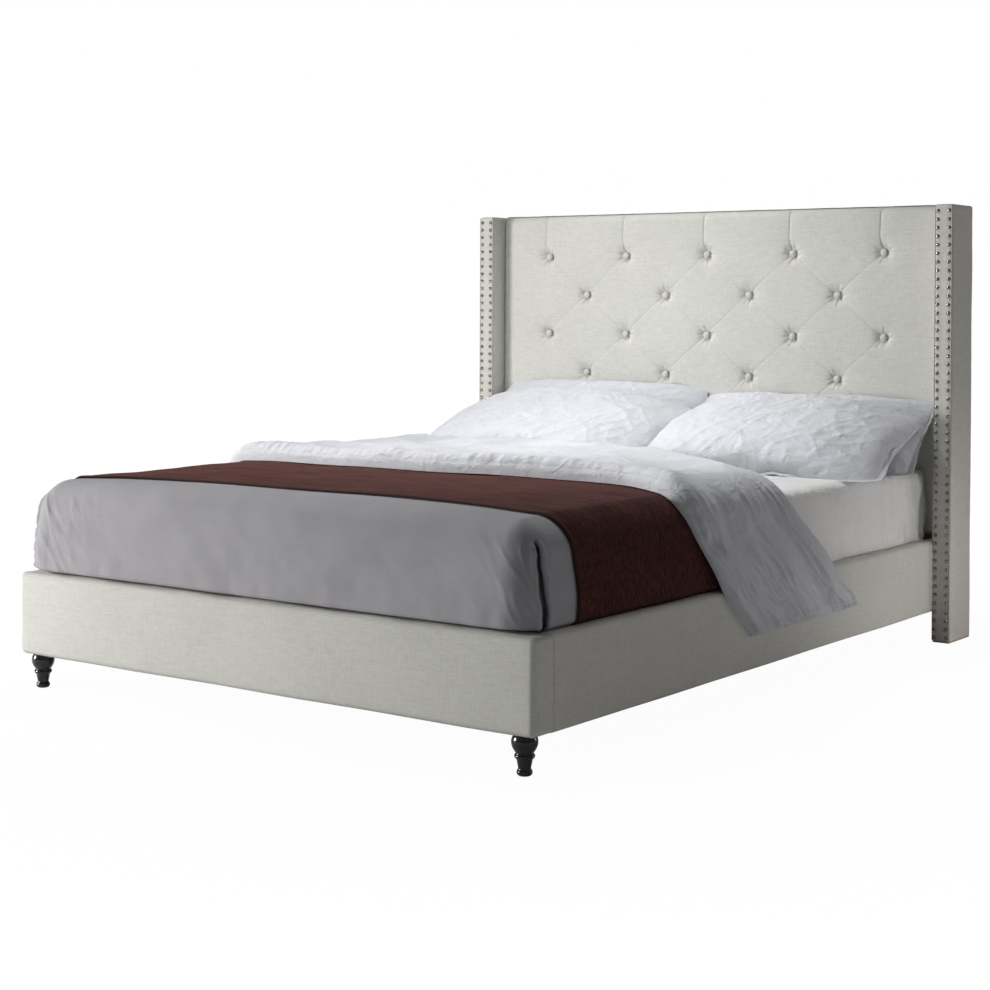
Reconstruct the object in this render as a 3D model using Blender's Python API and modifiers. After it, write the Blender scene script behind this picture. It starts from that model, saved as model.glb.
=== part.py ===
"""Upholstered winged bed with a button-tufted headboard, a slatted base and its bedding.

X runs across the bed, +Y towards the headboard and +Z up. The origin is on the floor under
the middle of the bed, and every size is in metres.
"""
import math

import bmesh
import bpy
from mathutils import Euler, Matrix, Vector

# Overall sizes
WIDTH = 1.726                  # over both wings
LENGTH = 2.215                 # foot rail face to headboard back
HEIGHT = 1.295                 # floor to headboard top
GAP = 0.0003                   # left between touching pieces
CLEARANCE = 0.0006             # round shanks, studs and bolts
CUT_OVERRUN = 0.002            # how far a cutter runs past what it cuts

# Wings
WING_THICK = 0.0575
WING_DEPTH = 0.157
WING_COVER = 0.003
WING_COVER_LIFT = 0.002        # the cover stops just above the floor

# Rails
RAIL_BOTTOM = 0.091
RAIL_TOP = 0.295
RAIL_INSET = 0.0015            # side rail face inside the wing's inner face
SIDE_RAIL_THICK = 0.030
FOOT_RAIL_THICK = 0.066
RAIL_COVER = 0.005

# Headboard, from its back forwards
BACK_PANEL = 0.003
FRAME_THICK = 0.030
FRAME_WIDTH = 0.100
BOARD_THICK = 0.012
LOWER_COVER = 0.003
PAD_THICK = 0.049
PAD_EDGE = 0.018               # rounding of the pad's front edges
PAD_BOTTOM_LIFT = 0.012        # pad's lower edge above the side rails

# Button tufting
TUFT_ROWS = 5
BUTTON_EDGE = 0.190            # outermost button to the pad's side
BUTTON_DROP = 0.138            # top row below the headboard's top
BUTTON_PITCH = 0.130           # row to row
BUTTON_RADIUS = 0.011
BUTTON_THICK = 0.010
BUTTON_CROWN = ((0.0, 1.0), (0.6, 0.88), (1.0, 0.4), (0.9, 0.0))   # shares, top first
SHANK_RADIUS = 0.0025
TWINE_RADIUS = 0.002
DIMPLE_RADIUS = 0.030
DIMPLE_DEPTH = 0.011
TUFT_SIDES = 10

# Slatted base
LEDGER_TOP = 0.195
LEDGER_SIZE = 0.030
SLAT_COUNT = 10
SLAT_WIDTH = 0.080
SLAT_THICK = 0.018
SLAT_END_CLEAR = 0.006
LEDGER_END_CLEAR = 0.010       # past the corner brackets
SUPPORT_WIDTH = 0.040
SUPPORT_DEPTH = 0.060

# Centre legs and their screw levellers
LEG_SIZE = 0.045
LEG_SPACING = 0.900
LEG_BOTTOM = 0.030
LEG_BORE_DEPTH = 0.045
STUD_RADIUS = 0.004
STUD_LENGTH = 0.048
STUD_COLLAR_RADIUS = 0.0075
STUD_COLLAR_THICK = 0.005
GLIDE_RADIUS = 0.020
GLIDE_HEIGHT = 0.012
GLIDE_PROFILE = ((0.0, 1.0), (0.55, 1.0), (0.7, 0.7), (1.0, 0.35), (1.0, 0.0), (0.0, 0.0))

# Turned feet: (radius, share of the foot's height), top first
TURNED_FOOT_INSET_X = 0.045
TURNED_FOOT_INSET_Y = 0.033
TURNED_PROFILE = (
    (0.0, 1.0), (0.0210, 1.0), (0.0261, 0.920), (0.0286, 0.850), (0.0290, 0.790),
    (0.0283, 0.720), (0.0261, 0.650), (0.0229, 0.590), (0.0193, 0.535), (0.0222, 0.480),
    (0.0225, 0.455), (0.0183, 0.395), (0.0154, 0.270), (0.0138, 0.175), (0.0170, 0.110),
    (0.0174, 0.080), (0.0151, 0.020), (0.0128, 0.0), (0.0, 0.0),
)
TURNED_STEPS = 20

# Corner brackets and bolts
BRACKET_THICK = 0.003
BRACKET_LEG = 0.050
BRACKET_HEIGHT = 0.080
BRACKET_LIFT = 0.012           # above the rails' lower edge
BOLT_RADIUS = 0.004
BOLT_GRIP = 0.035
BOLT_HEAD_RADIUS = 0.0075
BOLT_HEAD_THICK = 0.005

# Mattress and bedding
MATTRESS_TOP = 0.505
MATTRESS_SIDE_CLEAR = 0.012
MATTRESS_HEAD_CLEAR = 0.010
MATTRESS_EDGE = 0.030
BEDDING_LIFT = 0.003           # the coverlet and runner stop this far above the rails
BEDDING_CLEAR = 0.0005         # between layers of bedding
COVERLET_LENGTH = 0.960        # from the mattress's foot end
COVERLET_TOP = 0.030
COVERLET_SIDE = 0.020
COVERLET_FOOT = 0.032
COVERLET_TUCK = 0.045          # depth of the tuck inside the rails
COVERLET_TUCK_THICK = 0.006
RUNNER_START = 0.045           # from the mattress's foot end
RUNNER_WIDTH = 0.720
RUNNER_THICK = 0.006
DUVET_THICK = 0.040
DUVET_OUTSIDE = 0.045          # how far it hangs out past the side rails
DUVET_HEM = 0.185              # height of its lower edge outside the rails
DUVET_FOLD = 0.100             # depth of the slab below the mattress's top
DUVET_DROP_LAP = 0.020         # how far each drop starts in from the mattress's side
# Its foot-side edge, as (share of the half width, distance from the mattress's foot end)
DUVET_FOOT_EDGE = ((-1.0, 0.700), (-0.6, 0.620), (0.0, 0.605), (0.5, 0.650), (0.84, 0.560),
                   (1.0, 0.560))
# Its head-side edge, drawn back at the right
DUVET_HEAD_EDGE = ((1.0, 1.030), (0.05, 1.460), (-1.0, 1.480))
# Start and end of each drop's hem, by the same distance
DUVET_HEMS = {"left": (0.740, 1.500), "right": (0.820, 1.430)}
PILLOW_WIDTH = 0.740
PILLOW_LENGTH = 0.460
PILLOW_THICK = 0.120
PILLOW_TILT = 22.0
PILLOW_YAW = 3.0
PILLOW_SPREAD = 0.785          # between the pillows' middles
PILLOW_HEAD_CLEAR = 0.118      # pad to the front pillows' upper edge
PILLOW_LIFT = 0.003            # above the mattress, for the sheet
PILLOW_RIM = 0.24              # thickness at the rim, as a share of the middle
PILLOW_PULL = 0.05             # how far the sides pull in between the corners
BACK_PILLOW_DEPTH = 0.345
BACK_PILLOW_HEIGHT = 0.206
BACK_PILLOW_EDGE = 0.020
BACK_PILLOW_CLEAR = 0.004      # to the front pillow

# Planes worked out from the sizes above
BACK = LENGTH / 2
FOOT = -LENGTH / 2
HALF_WIDTH = WIDTH / 2
WING_INNER = HALF_WIDTH - WING_THICK
WING_FRONT = BACK - WING_DEPTH
RAIL_OUTER = WING_INNER - RAIL_INSET
RAIL_INNER = RAIL_OUTER - SIDE_RAIL_THICK
FOOT_RAIL_INNER = FOOT + FOOT_RAIL_THICK
HEAD_HALF = WING_INNER - GAP
FRAME_BACK = BACK - BACK_PANEL - GAP
FRAME_FRONT = FRAME_BACK - FRAME_THICK
BOARD_BACK = FRAME_FRONT - GAP
BOARD_FRONT = BOARD_BACK - BOARD_THICK
PAD_BACK = BOARD_FRONT - GAP
PAD_FRONT = PAD_BACK - PAD_THICK
PAD_BOTTOM = RAIL_TOP + PAD_BOTTOM_LIFT
COVER_FRONT = PAD_BACK - LOWER_COVER
RAIL_END = COVER_FRONT - GAP
RAIL_START = FOOT_RAIL_INNER + GAP
SLAT_BOTTOM = LEDGER_TOP + GAP
SLAT_TOP = SLAT_BOTTOM + SLAT_THICK
MATTRESS_HALF = RAIL_INNER - MATTRESS_SIDE_CLEAR
MATTRESS_FOOT = FOOT_RAIL_INNER + MATTRESS_SIDE_CLEAR
MATTRESS_HEAD = PAD_FRONT - MATTRESS_HEAD_CLEAR
MATTRESS_BOTTOM = SLAT_TOP + GAP
BRACKET_BOTTOM = RAIL_BOTTOM + BRACKET_LIFT
BOLT_HEIGHT = BRACKET_BOTTOM + BRACKET_HEIGHT / 2
BOLT_X = RAIL_INNER - GAP - BRACKET_THICK - (BRACKET_LEG - BRACKET_THICK) / 2
SIDES = (("left", -1), ("right", 1))

# Colour, roughness and metallic value of each material
MATERIALS = {
    "linen": ((0.74, 0.71, 0.65), 0.85, 0.0),
    "foam": ((0.80, 0.78, 0.70), 0.90, 0.0),
    "timber": ((0.55, 0.40, 0.24), 0.60, 0.0),
    "black_lacquer": ((0.012, 0.010, 0.010), 0.22, 0.0),
    "steel": ((0.55, 0.55, 0.56), 0.35, 1.0),
    "glide": ((0.05, 0.05, 0.05), 0.50, 0.0),
    "lining": ((0.06, 0.06, 0.06), 0.90, 0.0),
    "coverlet": ((0.42, 0.41, 0.43), 0.75, 0.0),
    "runner": ((0.11, 0.03, 0.025), 0.80, 0.0),
    "bed_linen": ((0.82, 0.83, 0.86), 0.75, 0.0),
    "mattress": ((0.86, 0.86, 0.85), 0.80, 0.0),
}


def clear_scene():
    for obj in list(bpy.data.objects):
        bpy.data.objects.remove(obj, do_unlink=True)


def new_collection(name):
    collection = bpy.data.collections.new(name)
    bpy.context.scene.collection.children.link(collection)
    return collection


clear_scene()
PARTS = new_collection("upholstered_bed")
CUTTERS = new_collection("cutters")


def material(name):
    found = bpy.data.materials.get(name)
    if found:
        return found
    colour, roughness, metallic = MATERIALS[name]
    made = bpy.data.materials.new(name)
    made.use_nodes = True
    shader = made.node_tree.nodes["Principled BSDF"]
    shader.inputs["Base Color"].default_value = (*colour, 1.0)
    shader.inputs["Roughness"].default_value = roughness
    shader.inputs["Metallic"].default_value = metallic
    return made


def add(name, mesh, surface, place=(0, 0, 0), turn=(0, 0, 0)):
    """Link a mesh as a part, or as a hidden cutter where surface is None."""
    obj = bpy.data.objects.new(name, mesh)
    obj.location = place
    obj.rotation_euler = turn
    if surface is None:
        CUTTERS.objects.link(obj)
        obj.hide_render = True
        obj.display_type = "WIRE"
    else:
        PARTS.objects.link(obj)
        mesh.materials.append(material(surface))
    return obj


def finish_mesh(name, bm):
    mesh = bpy.data.meshes.new(name)
    bm.to_mesh(mesh)
    bm.free()
    return mesh


def box(name, low, high, surface, edge=0.0, rounds=3):
    """Box between two corners, with its edges rounded by edge where that is given."""
    size = Vector(high) - Vector(low)
    bm = bmesh.new()
    bmesh.ops.create_cube(bm, size=1.0)
    bmesh.ops.scale(bm, vec=size, verts=bm.verts)
    obj = add(name, finish_mesh(name, bm), surface, (Vector(high) + Vector(low)) / 2)
    if edge:
        bevel = obj.modifiers.new("Rounded edges", "BEVEL")
        bevel.width = edge
        bevel.segments = rounds
        bevel.limit_method = "NONE"
    return obj


def wrap(name, low, high, open_sides, thickness, surface):
    """Cover of a box shape, open where the outward direction is in open_sides."""
    size = Vector(high) - Vector(low)
    bm = bmesh.new()
    bmesh.ops.create_cube(bm, size=1.0)
    bmesh.ops.scale(bm, vec=size, verts=bm.verts)
    bm.normal_update()
    removed = [
        face for face in bm.faces
        if any(face.normal.dot(Vector(side)) > 0.9 for side in open_sides)
    ]
    bmesh.ops.delete(bm, geom=removed, context="FACES")
    obj = add(name, finish_mesh(name, bm), surface, (Vector(high) + Vector(low)) / 2)
    solidify = obj.modifiers.new("Cover thickness", "SOLIDIFY")
    solidify.thickness = thickness
    solidify.offset = -1.0
    solidify.use_even_offset = True
    return obj


def prism(name, outline, axis, start, end, surface, edge=0.0):
    """Flat outline pushed from start to end along X (outline in Y, Z) or Z (outline in X, Y)."""
    bm = bmesh.new()
    if axis == "X":
        corners = [bm.verts.new((start, first, second)) for first, second in outline]
        push = Vector((end - start, 0, 0))
    else:
        corners = [bm.verts.new((first, second, start)) for first, second in outline]
        push = Vector((0, 0, end - start))
    face = bm.faces.new(corners)
    pushed = bmesh.ops.extrude_face_region(bm, geom=[face])
    moved = [item for item in pushed["geom"] if isinstance(item, bmesh.types.BMVert)]
    bmesh.ops.translate(bm, vec=push, verts=moved)
    bmesh.ops.recalc_face_normals(bm, faces=bm.faces)
    if edge:
        bmesh.ops.bevel(bm, geom=bm.edges[:], offset=edge, segments=2, profile=0.5,
                        affect="EDGES", clamp_overlap=True)
    return add(name, finish_mesh(name, bm), surface)


def turned(name, profile, surface, place=(0, 0, 0), turn=(0, 0, 0), steps=12):
    """Solid of revolution about local Z; the profile is (radius, height), top first."""
    mesh = bpy.data.meshes.new(name)
    points = [(radius, 0.0, height) for radius, height in profile]
    edges = [(index, index + 1) for index in range(len(points) - 1)]
    mesh.from_pydata(points, edges, [])
    obj = add(name, mesh, surface, place, turn)
    screw = obj.modifiers.new("Turned", "SCREW")
    screw.axis = "Z"
    screw.steps = steps
    screw.render_steps = steps
    screw.use_merge_vertices = True
    screw.merge_threshold = 0.00001
    return obj


def combine(obj, other, operation):
    boolean = obj.modifiers.new(operation.title(), "BOOLEAN")
    boolean.operation = operation
    boolean.object = other
    boolean.solver = "EXACT"
    return obj


def cut(obj, *cutters):
    for cutter in cutters:
        combine(obj, cutter, "DIFFERENCE")
    return obj


def join(obj, *others):
    for other in others:
        combine(obj, other, "UNION")
    return obj


def repeated(name, source, places, surface=None):
    """One mesh that holds a copy of the source's evaluated shape at each place."""
    bpy.context.view_layer.update()
    evaluated = source.evaluated_get(bpy.context.evaluated_depsgraph_get())
    shape = bpy.data.meshes.new_from_object(evaluated)
    facing = source.rotation_euler.to_matrix().to_4x4()
    bm = bmesh.new()
    for place in places:
        before = set(bm.verts)
        bm.from_mesh(shape)
        fresh = [vert for vert in bm.verts if vert not in before]
        bmesh.ops.transform(bm, matrix=Matrix.Translation(place) @ facing, verts=fresh)
    bmesh.ops.remove_doubles(bm, verts=bm.verts, dist=0.00001)
    bpy.data.objects.remove(source, do_unlink=True)
    return add(name, finish_mesh(name, bm), surface)


def tuft_places():
    """Button places by row: odd rows have a middle button, even rows sit between them."""
    pitch = (HEAD_HALF - BUTTON_EDGE) / 2
    rows = []
    for row in range(TUFT_ROWS):
        height = HEIGHT - BUTTON_DROP - row * BUTTON_PITCH
        steps = (-2, -1, 0, 1, 2) if row % 2 == 0 else (-1.5, -0.5, 0.5, 1.5)
        rows.append([(step * pitch, height) for step in steps])
    return rows


def make_headboard_frame():
    for side, sign in SIDES:
        inner = sign * (HEAD_HALF - FRAME_WIDTH)
        outer = sign * HEAD_HALF
        stile = box(f"{side}_headboard_stile", (min(inner, outer), FRAME_FRONT, RAIL_BOTTOM),
                    (max(inner, outer), FRAME_BACK, HEIGHT), "timber")
        cut(stile, bolt_hole(f"{side}_stile_bolt_hole", sign, RAIL_END))
    reach = HEAD_HALF - FRAME_WIDTH - GAP
    box("headboard_top_rail", (-reach, FRAME_FRONT, HEIGHT - FRAME_WIDTH),
        (reach, FRAME_BACK, HEIGHT), "timber")
    box("headboard_bottom_rail", (-reach, FRAME_FRONT, RAIL_BOTTOM),
        (reach, FRAME_BACK, RAIL_BOTTOM + FRAME_WIDTH), "timber")


def make_headboard_face():
    board = box("headboard_face_board", (-HEAD_HALF, BOARD_FRONT, RAIL_BOTTOM),
                (HEAD_HALF, BOARD_BACK, HEIGHT), "timber")
    lower = box("headboard_lower_cover", (-HEAD_HALF, COVER_FRONT, RAIL_BOTTOM),
                (HEAD_HALF, PAD_BACK, PAD_BOTTOM - GAP), "linen")
    box("headboard_back_panel", (-HEAD_HALF, FRAME_BACK + GAP, RAIL_BOTTOM),
        (HEAD_HALF, BACK, HEIGHT), "lining")
    for side, sign in SIDES:
        cut(board, bolt_hole(f"{side}_board_bolt_hole", sign, RAIL_END))
        cut(lower, bolt_hole(f"{side}_cover_bolt_hole", sign, RAIL_END))
    return board


def make_tufted_pad(board):
    """Foam pad with rounded front edges and a dimple and a twine hole at each button."""
    size = Vector((2 * HEAD_HALF, PAD_THICK, HEIGHT - PAD_BOTTOM))
    bm = bmesh.new()
    bmesh.ops.create_cube(bm, size=1.0)
    bmesh.ops.scale(bm, vec=size, verts=bm.verts)
    front = [edge for edge in bm.edges if all(vert.co.y < 0 for vert in edge.verts)]
    bmesh.ops.bevel(bm, geom=front, offset=PAD_EDGE, segments=3, profile=0.5, affect="EDGES")
    middle = Vector((0, (PAD_FRONT + PAD_BACK) / 2, (HEIGHT + PAD_BOTTOM) / 2))
    pad = add("tufted_headboard_pad", finish_mesh("tufted_headboard_pad", bm), "linen", middle)

    hole = SHANK_RADIUS + CLEARANCE
    through = PAD_THICK + GAP + BOARD_THICK + CUT_OVERRUN
    seat = BUTTON_RADIUS + CLEARANCE
    profile = ((0, CUT_OVERRUN), (DIMPLE_RADIUS, CUT_OVERRUN), (DIMPLE_RADIUS, 0),
               (seat, -DIMPLE_DEPTH), (hole, -DIMPLE_DEPTH), (hole, -through), (0, -through))
    facing = (math.pi / 2, 0, 0)
    source = turned("dimple", profile, None, turn=facing, steps=TUFT_SIDES)
    places = [(x, PAD_FRONT, z) for row in tuft_places() for x, z in row]
    dimples = repeated("button_dimples", source, places)
    cut(pad, dimples)
    cut(board, dimples)


def make_tufting_rows():
    """Each row of covered buttons, their shanks and the lacing twine behind the board."""
    base = -DIMPLE_DEPTH + GAP
    lacing = -(PAD_THICK + GAP + BOARD_THICK) - TWINE_RADIUS - CLEARANCE
    tail = lacing - TWINE_RADIUS * 0.5
    profile = [(BUTTON_RADIUS * across, base + BUTTON_THICK * up) for across, up in BUTTON_CROWN]
    profile += [(SHANK_RADIUS, base), (SHANK_RADIUS, tail), (0, tail)]
    facing = (math.pi / 2, 0, 0)
    for number, row in enumerate(tuft_places(), start=1):
        source = turned("button", profile, None, turn=facing, steps=TUFT_SIDES)
        places = [(x, PAD_FRONT, z) for x, z in row]
        buttons = repeated(f"button_row_{number}_shapes", source, places)
        bm = bmesh.new()
        length = row[-1][0] - row[0][0]
        bmesh.ops.create_cone(bm, cap_ends=True, segments=8, radius1=TWINE_RADIUS,
                              radius2=TWINE_RADIUS, depth=length)
        name = f"tufting_row_{number}"
        place = (0, PAD_FRONT - lacing, row[0][1])
        twine = add(name, finish_mesh(name, bm), "linen", place, (0, math.pi / 2, 0))
        join(twine, buttons)


def make_wings():
    for side, sign in SIDES:
        low_x, high_x = sorted((sign * WING_INNER, sign * HALF_WIDTH))
        wrap(f"{side}_wing_cover", (low_x, WING_FRONT, WING_COVER_LIFT), (high_x, BACK, HEIGHT),
             ((0, 1, 0), (0, 0, -1)), WING_COVER, "linen")
        inset = WING_COVER + GAP
        box(f"{side}_wing_core", (low_x + inset, WING_FRONT + inset, 0.0),
            (high_x - inset, BACK, HEIGHT - inset), "timber")


def make_side_rails():
    for side, sign in SIDES:
        low_x, high_x = sorted((sign * RAIL_INNER, sign * RAIL_OUTER))
        wrap(f"{side}_rail_cover", (low_x, RAIL_START, RAIL_BOTTOM), (high_x, RAIL_END, RAIL_TOP),
             ((-sign, 0, 0), (0, 1, 0), (0, -1, 0)), RAIL_COVER, "linen")
        inset = RAIL_COVER + GAP
        board_x = sorted((sign * RAIL_INNER, sign * (RAIL_OUTER - inset)))
        box(f"{side}_rail_board", (board_x[0], RAIL_START, RAIL_BOTTOM + inset),
            (board_x[1], RAIL_END, RAIL_TOP - inset), "timber")


def make_foot_rail():
    wrap("foot_rail_cover", (-RAIL_OUTER, FOOT, RAIL_BOTTOM),
         (RAIL_OUTER, FOOT_RAIL_INNER, RAIL_TOP), ((0, 1, 0),), RAIL_COVER, "linen")
    inset = RAIL_COVER + GAP
    board = box("foot_rail_board", (-RAIL_OUTER + inset, FOOT + inset, RAIL_BOTTOM + inset),
                (RAIL_OUTER - inset, FOOT_RAIL_INNER, RAIL_TOP - inset), "timber")
    for side, sign in SIDES:
        cut(board, bolt_hole(f"{side}_foot_rail_bolt_hole", sign, FOOT_RAIL_INNER))


def bolt_hole(name, sign, plane):
    """Clearance hole along Y at a corner bracket's bolt, to both sides of a plane."""
    radius = BOLT_RADIUS + CLEARANCE
    reach = BOLT_GRIP + CUT_OVERRUN
    profile = ((0, reach), (radius, reach), (radius, -reach), (0, -reach))
    place = (sign * BOLT_X, plane, BOLT_HEIGHT)
    return turned(name, profile, None, place, (math.pi / 2, 0, 0))


def make_corner(side, sign, end, plane, inward):
    """Angle bracket between a side rail and the piece at plane, and its bolt.

    inward is the Y direction from that piece towards the middle of the bed.
    """
    face = plane + inward * GAP
    rail = RAIL_INNER - GAP
    arm = [
        (sign * rail, face), (sign * rail, face + inward * BRACKET_LEG),
        (sign * (rail - BRACKET_THICK), face + inward * BRACKET_LEG),
        (sign * (rail - BRACKET_THICK), face + inward * BRACKET_THICK),
        (sign * (rail - BRACKET_LEG), face + inward * BRACKET_THICK),
        (sign * (rail - BRACKET_LEG), face),
    ]
    bracket = prism(f"{side}_{end}_bracket", arm, "Z", BRACKET_BOTTOM,
                    BRACKET_BOTTOM + BRACKET_HEIGHT, "steel")
    cut(bracket, bolt_hole(f"{side}_{end}_bracket_hole", sign, plane))
    under_head = BRACKET_THICK + 2 * GAP
    profile = ((0, under_head + BOLT_HEAD_THICK), (BOLT_HEAD_RADIUS, under_head + BOLT_HEAD_THICK),
               (BOLT_HEAD_RADIUS, under_head), (BOLT_RADIUS, under_head),
               (BOLT_RADIUS, under_head - BOLT_GRIP), (0, under_head - BOLT_GRIP))
    facing = (-inward * math.pi / 2, 0, 0)
    turned(f"{side}_{end}_bolt", profile, "steel", (sign * BOLT_X, plane, BOLT_HEIGHT), facing)


def make_corners():
    for side, sign in SIDES:
        make_corner(side, sign, "head", COVER_FRONT, -1)
        make_corner(side, sign, "foot", FOOT_RAIL_INNER, 1)


def make_slatted_base():
    clear = BRACKET_LEG + LEDGER_END_CLEAR
    start = RAIL_START + clear
    end = RAIL_END - clear
    for side, sign in SIDES:
        low_x, high_x = sorted((sign * (RAIL_INNER - GAP - LEDGER_SIZE), sign * (RAIL_INNER - GAP)))
        box(f"{side}_ledger", (low_x, start, LEDGER_TOP - LEDGER_SIZE), (high_x, end, LEDGER_TOP),
            "timber")
    reach = RAIL_INNER - SLAT_END_CLEAR
    step = (end - start - SLAT_WIDTH) / (SLAT_COUNT - 1)
    for number in range(SLAT_COUNT):
        near = start + number * step
        box(f"slat_{number + 1:02d}", (-reach, near, SLAT_BOTTOM),
            (reach, near + SLAT_WIDTH, SLAT_TOP), "timber")
    box("centre_support_rail", (-SUPPORT_WIDTH / 2, RAIL_START, LEDGER_TOP - SUPPORT_DEPTH),
        (SUPPORT_WIDTH / 2, RAIL_END, LEDGER_TOP), "timber")


def make_centre_leg(end, y):
    """Square leg under the support rail with a screw leveller in its lower end."""
    half = LEG_SIZE / 2
    leg = box(f"{end}_centre_leg", (-half, y - half, LEG_BOTTOM),
              (half, y + half, LEDGER_TOP - SUPPORT_DEPTH - GAP), "timber")
    bore = STUD_RADIUS + CLEARANCE
    bore_top = LEG_BOTTOM + LEG_BORE_DEPTH
    bore_profile = ((0, bore_top), (bore, bore_top), (bore, 0), (0, 0))
    cut(leg, turned(f"{end}_leg_bore", bore_profile, None, (0, y, 0)))
    glide = [(GLIDE_RADIUS * across, GLIDE_HEIGHT * up) for across, up in GLIDE_PROFILE]
    turned(f"{end}_leveller_glide", glide, "glide", (0, y, 0), steps=20)
    foot = GLIDE_HEIGHT + GAP
    collar = foot + STUD_COLLAR_THICK
    stud = ((0, foot + STUD_LENGTH), (STUD_RADIUS, foot + STUD_LENGTH), (STUD_RADIUS, collar),
            (STUD_COLLAR_RADIUS, collar), (STUD_COLLAR_RADIUS, foot), (0, foot))
    turned(f"{end}_leveller_stud", stud, "steel", (0, y, 0), steps=12)


def make_turned_feet():
    height = RAIL_BOTTOM - GAP
    profile = [(radius, share * height) for radius, share in TURNED_PROFILE]
    for side, sign in SIDES:
        place = (sign * (RAIL_OUTER - TURNED_FOOT_INSET_X), FOOT + TURNED_FOOT_INSET_Y, 0)
        turned(f"{side}_turned_foot", profile, "black_lacquer", place, steps=TURNED_STEPS)


def mattress_shape(name, surface, grow, low_z):
    """Mattress, or the same form grown on all sides, down to low_z."""
    return box(name, (-MATTRESS_HALF - grow, MATTRESS_FOOT - grow, low_z),
               (MATTRESS_HALF + grow, MATTRESS_HEAD + grow, MATTRESS_TOP + grow), surface,
               MATTRESS_EDGE + grow)


def coverlet_shape(name, surface, grow):
    """Coverlet's outer form above the rails, or the same form grown on all sides."""
    return box(name, (-MATTRESS_HALF - COVERLET_SIDE - grow, MATTRESS_FOOT - COVERLET_FOOT - grow,
                      RAIL_TOP + BEDDING_LIFT - grow),
               (MATTRESS_HALF + COVERLET_SIDE + grow, MATTRESS_FOOT + COVERLET_LENGTH + grow,
                MATTRESS_TOP + COVERLET_TOP + grow), surface, MATTRESS_EDGE + grow)


def make_coverlet():
    tuck_low = RAIL_TOP - COVERLET_TUCK
    beyond = 2 * MATTRESS_EDGE
    hollow = mattress_shape("mattress_hollow", None, BEDDING_CLEAR, 0)
    open_end = box("coverlet_open_end",
                   (-MATTRESS_HALF - BEDDING_CLEAR, MATTRESS_FOOT + beyond, 0),
                   (MATTRESS_HALF + BEDDING_CLEAR, MATTRESS_FOOT + COVERLET_LENGTH + beyond,
                    RAIL_TOP + beyond), None)
    spread = COVERLET_TUCK_THICK + BEDDING_CLEAR
    tuck = box("coverlet_tuck", (-MATTRESS_HALF - spread, MATTRESS_FOOT - spread, tuck_low),
               (MATTRESS_HALF + spread, MATTRESS_FOOT + COVERLET_LENGTH - MATTRESS_EDGE,
                RAIL_TOP + beyond), None)
    coverlet = coverlet_shape("foot_coverlet", "coverlet", 0.0)
    join(coverlet, tuck)
    cut(coverlet, hollow, open_end)


def make_runner():
    """Thin throw laid across the coverlet, down to the side rails' tops."""
    start = MATTRESS_FOOT + RUNNER_START
    low_z = RAIL_TOP + BEDDING_LIFT
    grow = BEDDING_CLEAR + RUNNER_THICK
    reach = MATTRESS_HALF + COVERLET_SIDE + grow
    top = MATTRESS_TOP + COVERLET_TOP + grow
    edge = MATTRESS_EDGE + grow
    arc = [
        (reach - edge + edge * math.sin(turn), top - edge + edge * math.cos(turn))
        for turn in [math.radians(90 * step / 3) for step in range(4)]
    ]
    outline = [(-x, z) for x, z in reversed(arc)] + arc + [(reach, low_z), (-reach, low_z)]
    runner = section("bed_runner", outline, start, start + RUNNER_WIDTH, "runner")
    cut(runner, coverlet_shape("runner_hollow", None, BEDDING_CLEAR))
    core = MATTRESS_HALF + COVERLET_SIDE + BEDDING_CLEAR
    cut(runner, box("runner_open_side", (-core, FOOT, 0),
                    (core, BACK, RAIL_TOP + 2 * MATTRESS_EDGE), None))


def section(name, outline, start, end, surface):
    """Outline in X and Z pushed along Y."""
    bm = bmesh.new()
    corners = [bm.verts.new((x, start, z)) for x, z in outline]
    face = bm.faces.new(corners)
    pushed = bmesh.ops.extrude_face_region(bm, geom=[face])
    moved = [item for item in pushed["geom"] if isinstance(item, bmesh.types.BMVert)]
    bmesh.ops.translate(bm, vec=(0, end - start, 0), verts=moved)
    bmesh.ops.recalc_face_normals(bm, faces=bm.faces)
    return add(name, finish_mesh(name, bm), surface)


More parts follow.
